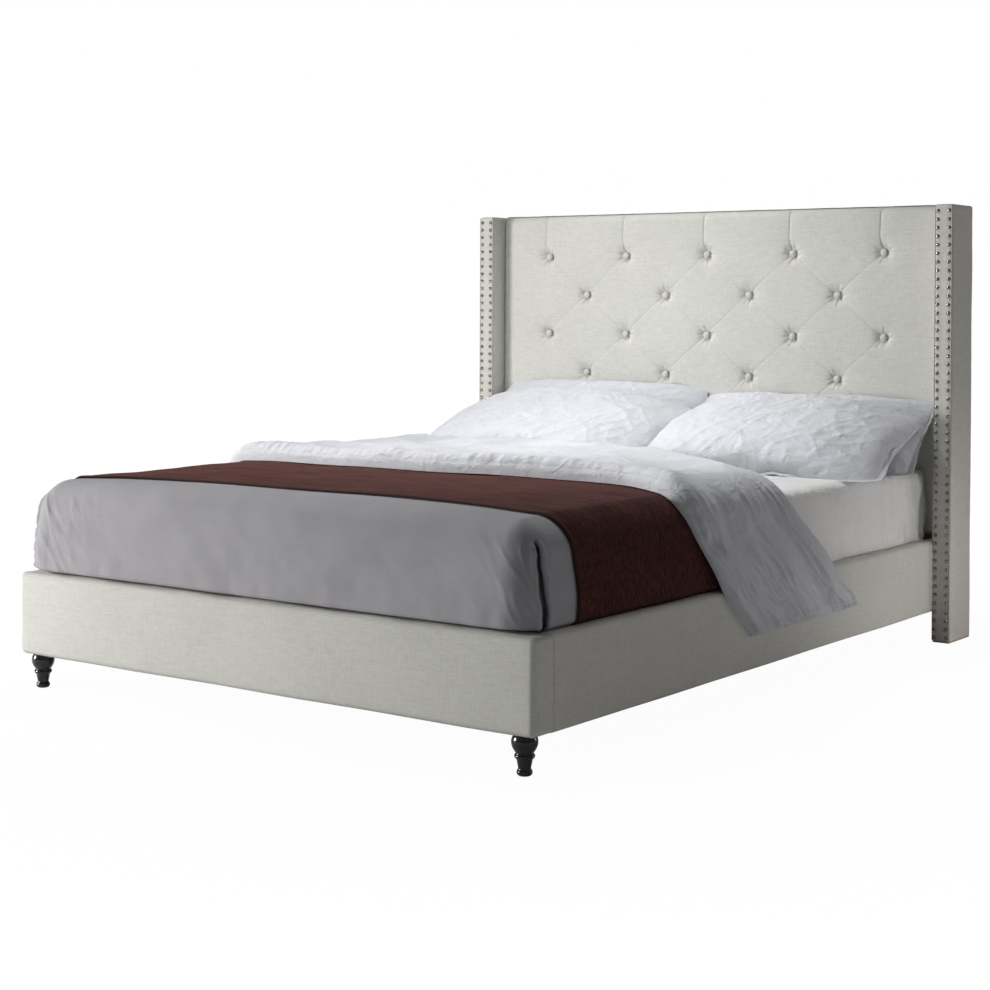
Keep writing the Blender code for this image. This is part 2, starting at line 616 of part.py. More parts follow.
def make_duvet():
    """Thick duvet over the runner, drawn back at the head's right corner.

    It is a slab over the bed and a hanging panel outside each side rail, less what lies under it.
    """
    outside = RAIL_OUTER + DUVET_OUTSIDE
    base = MATTRESS_FOOT
    layers = MATTRESS_TOP + COVERLET_TOP + RUNNER_THICK + 2 * BEDDING_CLEAR
    plan = [
        (share * outside, base + distance)
        for share, distance in DUVET_FOOT_EDGE + DUVET_HEAD_EDGE
    ]
    duvet = prism("duvet", plan, "Z", MATTRESS_TOP - DUVET_FOLD, layers + DUVET_THICK, "bed_linen")
    tops = {"left": (DUVET_FOOT_EDGE[0][1], DUVET_HEAD_EDGE[-1][1]),
            "right": (DUVET_FOOT_EDGE[-1][1], DUVET_HEAD_EDGE[0][1])}
    for side, sign in SIDES:
        first, last = tops[side]
        hem_first, hem_last = DUVET_HEMS[side]
        outline = [(base + first, MATTRESS_TOP), (base + hem_first, DUVET_HEM),
                   (base + hem_last, DUVET_HEM), (base + last, MATTRESS_TOP)]
        panel_x = sorted((sign * (MATTRESS_HALF - DUVET_DROP_LAP), sign * outside))
        join(duvet, prism(f"{side}_duvet_drop", outline, "X", panel_x[0], panel_x[1], None))
    runner_end = base + RUNNER_START + RUNNER_WIDTH
    reach = MATTRESS_HALF + COVERLET_SIDE + RUNNER_THICK + 2 * BEDDING_CLEAR
    cut(duvet,
        box("under_duvet_layers", (-reach, FOOT, 0), (reach, runner_end + GAP, layers), None),
        box("under_duvet_coverlet", (-reach + RUNNER_THICK, FOOT, 0),
            (reach - RUNNER_THICK, base + COVERLET_LENGTH + BEDDING_CLEAR,
             MATTRESS_TOP + COVERLET_TOP + BEDDING_CLEAR), None),
        box("under_duvet_mattress", (-MATTRESS_HALF - BEDDING_CLEAR, FOOT, 0),
            (MATTRESS_HALF + BEDDING_CLEAR, BACK, MATTRESS_TOP + BEDDING_CLEAR), None),
        box("under_duvet_rails", (-RAIL_OUTER - BEDDING_CLEAR, FOOT, 0),
            (RAIL_OUTER + BEDDING_CLEAR, BACK, RAIL_TOP + BEDDING_CLEAR), None))


def pillow_seat(sign):
    """Middle and turn of a front pillow, which leans back towards the headboard."""
    tilt = math.radians(PILLOW_TILT)
    run = PILLOW_LENGTH / 2 * math.cos(tilt)
    rise = PILLOW_LENGTH / 2 * math.sin(tilt)
    place = Vector((sign * PILLOW_SPREAD / 2, PAD_FRONT - PILLOW_HEAD_CLEAR - run,
                    MATTRESS_TOP + PILLOW_LIFT + rise + PILLOW_RIM * PILLOW_THICK / 2))
    return place, Euler((tilt, 0, math.radians(PILLOW_YAW) * sign))


def make_front_pillow(side, sign):
    """Crowned pillow whose sides pull in between its corners, leaning on the one behind."""
    bm = bmesh.new()
    bmesh.ops.create_cube(bm, size=2.0)
    bmesh.ops.subdivide_edges(bm, edges=bm.edges[:], cuts=4, use_grid_fill=True)
    for vert in bm.verts:
        x, y, z = vert.co
        crown = PILLOW_RIM + (1 - PILLOW_RIM) * (1 - abs(x) ** 3) * (1 - abs(y) ** 3)
        vert.co = (
            x * (1 - PILLOW_PULL * (1 - y * y)) * PILLOW_WIDTH / 2,
            y * (1 - PILLOW_PULL * (1 - x * x)) * PILLOW_LENGTH / 2,
            z * crown * PILLOW_THICK / 2,
        )
    place, turn = pillow_seat(sign)
    name = f"{side}_front_pillow"
    add(name, finish_mesh(name, bm), "bed_linen", place, turn)


def make_back_pillow(side, sign):
    """Pillow squashed into the wedge between the front pillow and the headboard."""
    head = MATTRESS_HEAD + MATTRESS_HEAD_CLEAR * 0.5
    low = MATTRESS_TOP + PILLOW_LIFT
    middle = sign * PILLOW_SPREAD / 2
    half = PILLOW_WIDTH / 2
    pillow = box(f"{side}_back_pillow", (middle - half, head - BACK_PILLOW_DEPTH, low),
                 (middle + half, head, low + BACK_PILLOW_HEIGHT), "bed_linen",
                 BACK_PILLOW_EDGE, 2)
    place, turn = pillow_seat(sign)
    below = PILLOW_THICK / 2 + BACK_PILLOW_CLEAR
    past = PILLOW_LENGTH / 2 + BACK_PILLOW_CLEAR
    above = box(f"{side}_back_pillow_hollow", (-PILLOW_WIDTH, -PILLOW_LENGTH, -below),
                (PILLOW_WIDTH, past, PILLOW_LENGTH), None)
    above.location = place + turn.to_matrix() @ above.location
    above.rotation_euler = turn
    cut(pillow, above)


def make_bedding():
    mattress_shape("mattress", "mattress", 0.0, MATTRESS_BOTTOM)
    make_coverlet()
    make_runner()
    make_duvet()
    for side, sign in SIDES:
        make_front_pillow(side, sign)
        make_back_pillow(side, sign)


def main():
    make_headboard_frame()
    board = make_headboard_face()
    make_tufted_pad(board)
    make_tufting_rows()
    make_wings()
    make_side_rails()
    make_foot_rail()
    make_corners()
    make_slatted_base()
    make_centre_leg("foot_end", -LEG_SPACING / 2)
    make_centre_leg("head_end", LEG_SPACING / 2)
    make_turned_feet()
    make_bedding()


main()
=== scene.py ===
"""Looks of the winged, button-tufted bed: upholstery, bedding, wood and metal."""
import math
from contextlib import contextmanager

import bmesh
import bpy
import numpy as np
from mathutils import Matrix, Vector


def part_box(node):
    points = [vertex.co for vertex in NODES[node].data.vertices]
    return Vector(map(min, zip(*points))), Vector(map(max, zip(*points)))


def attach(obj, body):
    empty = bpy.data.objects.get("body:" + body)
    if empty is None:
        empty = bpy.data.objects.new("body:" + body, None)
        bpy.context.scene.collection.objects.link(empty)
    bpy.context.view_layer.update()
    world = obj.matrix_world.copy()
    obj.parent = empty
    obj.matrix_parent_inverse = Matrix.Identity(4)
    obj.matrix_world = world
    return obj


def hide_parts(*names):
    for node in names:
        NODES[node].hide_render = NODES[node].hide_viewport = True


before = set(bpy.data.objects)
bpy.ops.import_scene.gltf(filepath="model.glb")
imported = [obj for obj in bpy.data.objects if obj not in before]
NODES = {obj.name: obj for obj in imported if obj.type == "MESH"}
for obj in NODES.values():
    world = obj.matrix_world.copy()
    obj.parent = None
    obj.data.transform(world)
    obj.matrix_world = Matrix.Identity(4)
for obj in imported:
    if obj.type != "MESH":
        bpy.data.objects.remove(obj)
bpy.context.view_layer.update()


# ---------------- numbers and noise

def smooth(edge0, edge1, value):
    """0 before edge0, 1 after edge1, smooth between."""
    share = np.clip((value - edge0) / (edge1 - edge0), 0.0, 1.0)
    return share * share * (3 - 2 * share)


def noise(x, y, seed):
    """Smooth gradient noise from about -1 to 1, one feature per unit of x and y."""
    size = 128
    angles = np.random.default_rng(seed).random((size, size)) * 2 * math.pi
    x, y = np.asarray(x, float), np.asarray(y, float)
    column, row = np.floor(x).astype(int), np.floor(y).astype(int)
    fx, fy = x - column, y - row

    def corner(dx, dy):
        angle = angles[(column + dx) % size, (row + dy) % size]
        return np.cos(angle) * (fx - dx) + np.sin(angle) * (fy - dy)

    ease_x = fx ** 3 * (fx * (fx * 6 - 15) + 10)
    ease_y = fy ** 3 * (fy * (fy * 6 - 15) + 10)
    low = corner(0, 0) * (1 - ease_x) + corner(1, 0) * ease_x
    high = corner(0, 1) * (1 - ease_x) + corner(1, 1) * ease_x
    return (low * (1 - ease_y) + high * ease_y) * 1.6


def folds(x, y, seed, sharp=1.0):
    """Ridged noise from 0 to 1, like creases in cloth; sharp narrows the ridges."""
    return np.clip(1 - np.abs(noise(x, y, seed)) * 1.7, 0, 1) ** (1.5 + sharp)


# ---------------- mesh building

def plain_mesh(name, vertices, faces, surface, smooth_shade=True):
    mesh = bpy.data.meshes.new(name)
    faces = [[int(index) for index in face] for face in faces]
    mesh.from_pydata(np.asarray(vertices).tolist(), [], faces)
    mesh.materials.append(surface)
    obj = bpy.data.objects.new(name, mesh)
    bpy.context.scene.collection.objects.link(obj)
    if smooth_shade:
        mesh.shade_smooth()
    return obj


def piece(name, vertices, faces, surface, replaces=(), smooth_shade=True):
    """A mesh that rides on the bed's frame."""
    obj = plain_mesh(name, vertices, faces, surface, smooth_shade)
    dress(obj, replaces)
    return obj


def dress(obj, replaces=()):
    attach(obj, "root")
    if replaces:
        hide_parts(*replaces)


@contextmanager
def edited(mesh):
    """The mesh as a bmesh, written back at the end."""
    bm = bmesh.new()
    bm.from_mesh(mesh)
    yield bm
    bm.to_mesh(mesh)
    bm.free()


def face_outward(obj):
    with edited(obj.data) as bm:
        bmesh.ops.recalc_face_normals(bm, faces=bm.faces)


def join_doubles(obj, gap):
    with edited(obj.data) as bm:
        bmesh.ops.remove_doubles(bm, verts=bm.verts, dist=gap)


def rim_of(rows, columns):
    """Indices round the edge of a rows by columns grid of vertices."""
    return ([i * columns for i in range(rows)]
            + [(rows - 1) * columns + j for j in range(1, columns)]
            + [i * columns + columns - 1 for i in range(rows - 2, -1, -1)]
            + list(range(columns - 2, 0, -1)))


def grid_faces(rows, columns, wrap=False, start=0, flip=False):
    """Quads of a rows by columns grid of vertices; wrap joins the last column to the first."""
    across = columns if wrap else columns - 1
    row, column = np.meshgrid(np.arange(rows - 1), np.arange(across), indexing="ij")
    a = row * columns + column
    b = row * columns + (column + 1) % columns
    quads = np.stack([a, b, b + columns, a + columns], axis=-1).reshape(-1, 4) + start
    return quads[:, ::-1] if flip else quads


def solidify(obj, thickness, offset=-1.0):
    modifier = obj.modifiers.new("Thickness", "SOLIDIFY")
    modifier.thickness = thickness
    modifier.offset = offset
    modifier.use_even_offset = False


def ticks(low, high, round_low, round_high, step, seams=(), reach=0.004, bends=6):
    """Grid lines between two ends, closer together in the rounded ends and beside seams."""
    lines = set()
    for index in range(bends):
        turn = 1 - math.cos(math.pi / 2 * index / bends)
        if round_low:
            lines.add(low + round_low * turn)
        if round_high:
            lines.add(high - round_high * turn)
    start, end = low + round_low, high - round_high
    count = max(2, int((end - start) / step) + 1)
    lines.update(np.linspace(start, end, count))
    lines.update((low, high))
    for seam in seams:
        lines = {line for line in lines if abs(line - seam) > reach * 0.9}
        lines.update(np.linspace(seam - reach, seam + reach, 7))
    ordered = sorted(lines)
    kept = [ordered[0]]
    for line in ordered[1:]:
        if line - kept[-1] > 1e-5:
            kept.append(line)
    kept[-1] = high
    return np.array(kept)


def soft_box(name, low, high, radius, step, surface, open_sides=(), seams=None, shape=None,
             replaces=(), shell=0.0, reach=0.004, bends=6):
    """Box with rounded edges and a fine skin, which shape() pushes about.

    open_sides and the keys of seams are such as "+y" and "x". shape gets the points' x, y, z and
    normals, and gives a push along each normal or the moved points.
    """
    low, high = np.array(low, float), np.array(high, float)
    seams = seams or {}
    axes = "xyz"
    round_low = [0 if "-" + axis in open_sides else radius for axis in axes]
    round_high = [0 if "+" + axis in open_sides else radius for axis in axes]
    lines = [ticks(low[i], high[i], round_low[i], round_high[i], step, seams.get(axes[i], ()),
                   reach, bends) for i in range(3)]
    vertices, faces, count = [], [], 0
    for axis in range(3):
        for sign, value in ((-1, low[axis]), (1, high[axis])):
            if ("+" if sign > 0 else "-") + axes[axis] in open_sides:
                continue
            first, second = [i for i in range(3) if i != axis]
            u, v = np.meshgrid(lines[first], lines[second], indexing="ij")
            points = np.empty(u.shape + (3,))
            points[..., axis], points[..., first], points[..., second] = value, u, v
            outward = sign * (1 if axis != 1 else -1)
            faces.append(grid_faces(*u.shape, start=count, flip=outward < 0))
            vertices.append(points.reshape(-1, 3))
            count += u.size
    square = np.vstack(vertices)
    core = np.clip(square, low + round_low, high - round_high)
    out = square - core
    length = np.linalg.norm(out, axis=1, keepdims=True)
    normal = out / np.maximum(length, 1e-9)
    points = core + normal * radius
    if shape:
        moved = shape(*points.T, normal)
        points = moved if moved.ndim == 2 else points + normal * moved[:, None]
    obj = piece(name, points, np.vstack(faces), surface, replaces)
    join_doubles(obj, 0.00002)
    if shell:
        solidify(obj, shell)
    return obj


def facing(share):
    """1 where a normal's share along an axis is nearly full, 0 where it points aside."""
    return smooth(0.5, 0.95, share)


def groove(distance, depth, width):
    """Depth of a sewn seam at a distance from its line."""
    return -depth * np.exp(-(distance / width) ** 2)


def lathe(profile, steps, centre, axis="z"):
    """Vertices and faces of a turned body; profile is (radius, height), top first."""
    profile = np.array(profile, float)
    turn = np.linspace(0, 2 * math.pi, steps, endpoint=False)
    ring = np.stack([np.cos(turn), np.sin(turn)], axis=-1)
    points = np.empty((len(profile), steps, 3))
    points[..., 0:2] = profile[:, 0][:, None, None] * ring[None]
    points[..., 2] = profile[:, 1][:, None]
    if axis == "-y":
        points = points[..., [0, 2, 1]] * np.array([1, -1, 1])
    vertices = points.reshape(-1, 3) + np.array(centre)
    faces = [list(face) for face in grid_faces(len(profile), steps, wrap=True, flip=True)]
    faces.append(list(range(steps)))
    last = (len(profile) - 1) * steps
    faces.append([last + index for index in reversed(range(steps))])
    return vertices, faces


def gathered(name, parts, surface, replaces=(), smooth_shade=True):
    """One piece from several (vertices, faces) shapes."""
    vertices, faces, count = [], [], 0
    for points, quads in parts:
        vertices.append(points)
        faces += [[index + count for index in face] for face in quads]
        count += len(points)
    return piece(name, np.vstack(vertices), faces, surface, replaces, smooth_shade)


# ---------------- materials

def add_node(tree, kind, inputs=None, **settings):
    made = tree.nodes.new("ShaderNode" + kind)
    for key, value in settings.items():
        setattr(made, key, value)
    for key, value in (inputs or {}).items():
        if isinstance(value, bpy.types.NodeSocket):
            tree.links.new(value, made.inputs[key])
        else:
            made.inputs[key].default_value = value
    return made


class Surface:
    """A procedural material in the making, in the object's own coordinates."""

    def __init__(self, name, levels=None):
        self.material = bpy.data.materials.new(name)
        self.material.use_nodes = True
        self.tree = self.material.node_tree
        self.shader = self.tree.nodes["Principled BSDF"]
        self.place = self.node("TexCoord").outputs["Object"]
        for socket, value in (levels or {}).items():
            self.shader.inputs[socket].default_value = value

    def node(self, kind, inputs=None, **settings):
        return add_node(self.tree, kind, inputs, **settings)

    def speckle(self, scale, detail=2.0, roughness=0.5, distortion=0.0):
        """Noise whose features are 1 / scale metres, or 1 / scale along X, Y and Z."""
        scale = (scale,) * 3 if isinstance(scale, float) else scale
        mapped = self.node("Mapping", {"Vector": self.place, "Scale": scale}).outputs[0]
        return self.node("TexNoise", {"Vector": mapped, "Scale": 1.0, "Detail": detail,
                                      "Roughness": roughness,
                                      "Distortion": distortion}).outputs["Fac"]

    def ramp(self, fac, *stops):
        made = self.node("ValToRGB", {"Fac": fac})
        elements = made.color_ramp.elements
        while len(elements) < len(stops):
            elements.new(0.5)
        for element, (position, colour) in zip(elements, stops):
            element.position = position
            element.color = (*colour, 1.0)
        return made.outputs["Color"]

    def math(self, operation, *values):
        return self.node("Math", dict(enumerate(values)), operation=operation).outputs[0]

    def blend(self, first, first_share, second, second_share):
        """Weighted sum of two values."""
        part = self.math("MULTIPLY", first, first_share)
        return self.math("MULTIPLY_ADD", second, second_share, part)

    def mix(self, fac, first, second, kind="MIX"):
        return self.node("Mix", {0: fac, 6: first, 7: second}, data_type="RGBA",
                         blend_type=kind).outputs[2]

    def link(self, value, socket):
        self.tree.links.new(value, self.shader.inputs[socket])

    def colour(self, tone, *stops):
        self.link(self.ramp(tone, *stops), "Base Color")

    def roughness(self, value, at_zero, at_one):
        spread = self.node("MapRange", {"Value": value, "To Min": at_zero, "To Max": at_one})
        self.link(spread.outputs[0], "Roughness")

    def bump(self, height, strength, distance):
        made = self.node("Bump", {"Height": height, "Strength": strength, "Distance": distance})
        self.link(made.outputs[0], "Normal")


def woven(name, light, dark, along, across):
    """Linen-look cloth: level and upright threads of uneven thickness, slubs and faint patches."""
    made = Surface(name, {"Sheen Weight": 0.1, "Sheen Roughness": 0.5, "Specular IOR Level": 0.25})
    level = made.speckle((along, along, across), 3.0)
    upright = made.speckle((across, across, along), 3.0)
    threads = made.blend(level, 0.52, upright, 0.48)
    base = made.ramp(threads, (0.36, dark), (0.60, light))
    slubs = made.speckle((along * 0.45, along * 0.45, across * 0.8), 1.0)
    slub_mask = made.ramp(slubs, (0.62, (0, 0, 0)), (0.72, (1, 1, 1)))
    darker = tuple(channel * 0.80 for channel in dark)
    base = made.mix(made.math("MULTIPLY", slub_mask, 0.25), base, (*darker, 1.0))
    tint = made.ramp(made.speckle(3.0, 3.0), (0.3, (0.95,) * 3), (0.7, (1.0,) * 3))
    made.link(made.mix(1.0, base, tint, "MULTIPLY"), "Base Color")
    weave = made.speckle(1100.0, 1.0)
    made.bump(made.math("MULTIPLY_ADD", weave, 0.35, threads), 0.35, 0.0012)
    made.roughness(threads, 0.95, 0.8)
    return made.material


def cotton(name, light, dark, bump, depth=0.003):
    """Smooth bed cotton with a fine plain weave and faint pressed creases."""
    made = Surface(name, {"Sheen Weight": 0.12, "Specular IOR Level": 0.25})
    weave = made.speckle(900.0, 2.0)
    soft = made.speckle((5.0, 5.0, 9.0), 4.0, 0.6)
    made.colour(made.blend(weave, 0.25, soft, 0.75), (0.35, dark), (0.62, light))
    wrinkle = made.speckle((26.0, 26.0, 60.0), 5.0, 0.6)
    ridge = made.speckle((17.0, 17.0, 24.0), 4.0, 0.5, 0.6)
    ridge = made.math("POWER", made.math("ABSOLUTE", made.math("SUBTRACT", ridge, 0.5)), 0.7)
    height = made.blend(ridge, -2.0, wrinkle, 0.6)
    made.bump(made.math("MULTIPLY_ADD", weave, 0.08, height), bump, depth)
    made.roughness(soft, 0.72, 0.9)
    return made.material


def timber(name, light, dark, stretch=(2.0, 40.0, 40.0)):
    """Planed timber whose grain runs along the axis with the smallest stretch."""
    made = Surface(name)
    grain = made.speckle(stretch, 6.0, 0.65)
    pores = made.speckle(tuple(value * 9 for value in stretch), 2.0)
    tone = made.blend(pores, 0.3, grain, 0.7)
    made.colour(tone, (0.35, dark), (0.5, light), (0.66, dark))
    made.bump(tone, 0.2, 0.001)
    made.roughness(pores, 0.47, 0.70)
    return made.material


def metal(name, light, dark, rough, scale=260.0):
    made = Surface(name, {"Metallic": 1.0})
    marks = made.speckle(scale, 4.0, 0.6)
    made.colour(marks, (0.35, dark), (0.6, light))
    made.roughness(marks, rough[1], rough[0])
    made.bump(marks, 0.1, 0.0005)
    return made.material


def lacquer(name, light, dark, rough=(0.10, 0.30), coat=0.6):
    made = Surface(name, {"Coat Weight": coat, "Coat Roughness": 0.08})
    grain = made.speckle((60.0, 60.0, 12.0), 4.0)
    made.colour(made.speckle(45.0, 5.0, 0.7), (0.45, dark), (0.75, light))
    made.roughness(grain, *rough)
    made.bump(grain, 0.12, 0.0006)
    return made.material


def ribbed(name, light, dark, pitch, bump=0.6):
    """Throw cloth with raised ribs along X and a mottled pile."""
    made = Surface(name, {"Sheen Weight": 0.12, "Sheen Roughness": 0.4,
                          "Sheen Tint": (0.9, 0.5, 0.42, 1.0), "Specular IOR Level": 0.15})
    streak = made.speckle((9.0, 1 / pitch * 0.8, 60.0), 3.0, 0.6)
    pile = made.speckle(700.0, 2.0)
    tone = made.blend(pile, 0.3, streak, 0.7)
    made.colour(tone, (0.34, dark), (0.64, light))
    made.bump(tone, bump, 0.002)
    made.roughness(pile, 0.75, 0.95)
    return made.material


LINEN = woven("linen", (0.73, 0.725, 0.68), (0.62, 0.612, 0.567), along=40.0, across=560.0)
PIPING = woven("linen_cord", (0.70, 0.68, 0.62), (0.50, 0.48, 0.43), along=200.0, across=900.0)
GREY_COTTON = cotton("grey_cotton", (0.40, 0.39, 0.415), (0.355, 0.345, 0.365), bump=0.12)
WHITE_COTTON = cotton("white_cotton", (0.69, 0.705, 0.74), (0.625, 0.635, 0.675), bump=0.6,
                      depth=0.0048)
SHEET_COTTON = cotton("sheet_cotton", (0.88, 0.88, 0.87), (0.81, 0.81, 0.80), bump=0.6, depth=0.006)
TICKING = woven("ticking", (0.78, 0.78, 0.76), (0.68, 0.68, 0.66), along=120.0, across=500.0)
RUNNER_CLOTH = ribbed("runner_cloth", (0.110, 0.036, 0.031), (0.027, 0.010, 0.009), 0.007)
RUNNER_BINDING = ribbed("runner_binding", (0.050, 0.019, 0.017), (0.026, 0.010, 0.010), 0.003, 0.3)
LINING = cotton("lining_cloth", (0.035, 0.035, 0.036), (0.020, 0.020, 0.021), bump=0.3)
PINE = timber("pine", (0.62, 0.45, 0.27), (0.48, 0.32, 0.17))
PINE_ALONG = timber("pine_along", (0.60, 0.44, 0.26), (0.46, 0.31, 0.17), (40.0, 2.0, 40.0))
PINE_UPRIGHT = timber("pine_upright", (0.60, 0.44, 0.26), (0.46, 0.31, 0.17), (40.0, 40.0, 2.0))
PLYWOOD = timber("plywood", (0.66, 0.50, 0.32), (0.55, 0.39, 0.22), (3.0, 30.0, 14.0))
BLACK_LACQUER = lacquer("black_lacquer", (0.020, 0.016, 0.015), (0.006, 0.005, 0.005))
PEWTER = metal("pewter", (0.55, 0.51, 0.46), (0.17, 0.15, 0.13), (0.14, 0.30))
ZINC = metal("zinc", (0.66, 0.66, 0.66), (0.42, 0.42, 0.43), (0.3, 0.5), 90.0)
BLACK_PLASTIC = lacquer("black_plastic", (0.045, 0.045, 0.045), (0.025, 0.025, 0.025),
                        (0.35, 0.6), 0.0)


# ---------------- headboard

ROWS = range(1, 6)
BUTTONS = []
for ROW in ROWS:
    ROW_LOW, ROW_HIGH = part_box(f"tufting_row_{ROW}")
    COUNT = 5 if ROW % 2 else 4
    BUTTON_RADIUS = (ROW_HIGH.z - ROW_LOW.z) / 2
    for X in np.linspace(ROW_LOW.x + BUTTON_RADIUS, ROW_HIGH.x - BUTTON_RADIUS, COUNT):
        BUTTONS.append((ROW, float(X), (ROW_LOW.z + ROW_HIGH.z) / 2))

# how deep each kind of pleat is creased, as a share of the main diagonals
DIAGONAL = 1.0
COUNTER_DIAGONAL = 0.40
SIDE_PLEAT = 0.35
TOP_PLEAT = 1.01
BOTTOM_PLEAT = 1.2

PAD_LOFT = 0.0015
PAD_ROUND = 0.024
PAD_STEP = 0.0027
PAD_LOW, PAD_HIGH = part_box("tufted_headboard_pad")


def pleat_lines():
    """Segments of the tufting: diagonals, upright pleats to both edges, level ones to the sides."""
    pitch = BUTTONS[1][1] - BUTTONS[0][1]
    past_edge = 0.01
    lines = []
    for row, x, z in BUTTONS:
        for next_row, next_x, next_z in BUTTONS:
            if next_row == row + 1 and abs(next_x - x) < pitch * 0.6:
                weight = DIAGONAL if next_x > x else COUNTER_DIAGONAL
                lines.append((x, z, next_x, next_z, weight))
        if row == ROWS[0]:
            bend = (x - 0.010, z + 0.050)
            lines.append((x, z, *bend, TOP_PLEAT))
            lines.append((*bend, x - 0.004, PAD_HIGH.z + past_edge, TOP_PLEAT))
        if row == ROWS[-1]:
            lines.append((x, z, x, PAD_LOW.z - past_edge, BOTTOM_PLEAT))
        if row % 2 and abs(x) > 1.8 * pitch:
            lines.append((x, z, math.copysign(PAD_HIGH.x + past_edge, x), z, SIDE_PLEAT))
    return lines


def pad_tufting(x, z):
    """Depth of the pad's pleats, dimples and gathers at x and z, less the puff between them."""
    depth = np.zeros_like(x)
    nearest = np.full_like(x, 1.0)
    for x0, z0, x1, z1, weight in pleat_lines():
        run = np.array([x1 - x0, z1 - z0])
        length = np.hypot(*run)
        share = np.clip(((x - x0) * run[0] + (z - z0) * run[1]) / length ** 2, 0, 1)
        distance = np.hypot(x - x0 - share * run[0], z - z0 - share * run[1])
        ends = np.minimum(share, 1 - share) * length
        if weight > DIAGONAL:
            ends = share * length * 0.5
        pull = 0.75 if weight == TOP_PLEAT else 0.55 + 0.45 * np.exp(-ends / 0.035)
        crease = 0.0014 * np.exp(-distance / 0.008) + 0.0034 * np.exp(-(distance / 0.0026) ** 2)
        depth = np.maximum(depth, weight * pull * crease)
        if weight >= DIAGONAL:
            nearest = np.minimum(nearest, distance)
    puff = 0.0022 * (1 - np.exp(-(nearest / 0.030) ** 2))

    rng = np.random.default_rng(11)
    dimple = np.zeros_like(x)
    gathers = np.zeros_like(x)
    for _, bx, bz in BUTTONS:
        away = np.hypot(x - bx, z - bz)
        angle = np.arctan2(z - bz, x - bx)
        dimple = np.maximum(dimple, 0.0150 * np.exp(-(away / 0.0205) ** 1.9)
                            + 0.0050 * np.exp(-(away / 0.042) ** 1.4))
        phase = rng.random(3) * 6.28
        wave = (np.sin(9 * angle + phase[0]) + 0.7 * np.sin(14 * angle + phase[1])
                + 0.5 * np.sin(5 * angle + phase[2]))
        gathers += 0.0010 * wave * np.exp(-((away - 0.024) / 0.010) ** 2)
    return depth + dimple + gathers - puff


def make_pad():
    low, high, radius = PAD_LOW, PAD_HIGH, PAD_ROUND
    lines_x = ticks(low.x, high.x, radius, radius, PAD_STEP)
    lines_z = ticks(low.z, high.z, radius, radius - 0.004, PAD_STEP)
    x, z = np.meshgrid(lines_x, lines_z, indexing="ij")
    edge_x = np.maximum(0, radius - np.minimum(x - low.x, high.x - x))
    edge_z = np.maximum(0, radius - np.minimum(z - low.z, high.z - z))
    corner = np.sqrt(np.clip(radius ** 2 - edge_x ** 2 - edge_z ** 2, 0, None))
    slack = 0.0008 * noise(x * 9, z * 9, 21) + 0.0004 * noise(x * 34, z * 34, 22)
    y = low.y - PAD_LOFT + (radius - corner) * 0.95 + pad_tufting(x, z) + slack
    y = np.minimum(y, high.y - 0.004)

    rim = rim_of(*x.shape)
    front = np.stack([x, y, z], axis=-1).reshape(-1, 3)
    back = front[rim]
    back[:, 1] = high.y
    start, total = len(front), len(rim)
    faces = [list(face) for face in grid_faces(*x.shape)]
    for index in range(total):
        following = (index + 1) % total
        faces.append([rim[index], start + index, start + following, rim[following]])
    faces.append([start + index for index in range(total)])
    pad = piece("tufted_pad", np.vstack([front, back]), faces, LINEN, ["tufted_headboard_pad"])
    face_outward(pad)


def make_buttons():
    """Cloth-covered button caps, a hair larger than the CAD buttons that they clothe."""
    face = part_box("tufting_row_1")[0].y
    radius = BUTTON_RADIUS + 0.0006
    proud, domed = 0.0004, 0.0056
    cap = [(0.0001, proud)]
    for step in range(1, 9):
        turn = math.pi / 2 * step / 8
        cap.append((radius * math.sin(turn) ** 0.9, proud - domed * (1 - math.cos(turn))))
    cap += [(radius * 0.97, -0.0075), (radius * 0.80, -0.0095)]
    for row in ROWS:
        parts = []
        for _, x, z in [button for button in BUTTONS if button[0] == row]:
            points, faces = lathe(cap, 32, (x, face, z), "-y")
            turn = np.arctan2(points[:, 2] - z, points[:, 0] - x)
            away = np.hypot(points[:, 2] - z, points[:, 0] - x)
            points[:, 1] += 0.00022 * np.cos(16 * turn + x * 40) * (away / radius) ** 3
            parts.append((points, faces))
        gathered(f"button_caps_row_{row}", parts, LINEN)


def make_wings():
    for side, sign in (("left", -1), ("right", 1)):
        low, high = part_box(f"{side}_wing_cover")
        seam = low.y + 0.072
        inner = low.x if sign > 0 else high.x

        def shape(x, y, z, normal):
            middle = (low.x + high.x) / 2
            push = 0.0012 * noise(z * 5, y * 6 + x * 20, 31) * (np.abs(normal[:, 0]) > 0.7)
            push += 0.0004 * noise(z * 30, y * 30 + x * 30, 32)
            facing_in = smooth(0.6, 0.95, normal[:, 0] * -sign)
            push += facing_in * groove(y - seam, 0.0016, 0.0016)
            push += facing_in * 0.0016 * np.exp(-((np.abs(y - seam) - 0.008) / 0.006) ** 2)
            front = smooth(0.6, 0.95, -normal[:, 1])
            across = (x - middle) / (high.x - middle)
            push += front * 0.0022 * (np.abs(np.sin(across * math.pi * 0.95)) - 0.5)
            return push

        soft_box(f"{side}_wing_upholstery", low, (high.x, high.y + 0.0008, high.z + 0.0006),
                 0.009, 0.012, LINEN, seams={"y": (seam,)}, shape=shape,
                 replaces=[f"{side}_wing_cover"])
        make_nails(side, sign, inner, low.y, high.z)
        make_wing_cords(side, low, high)


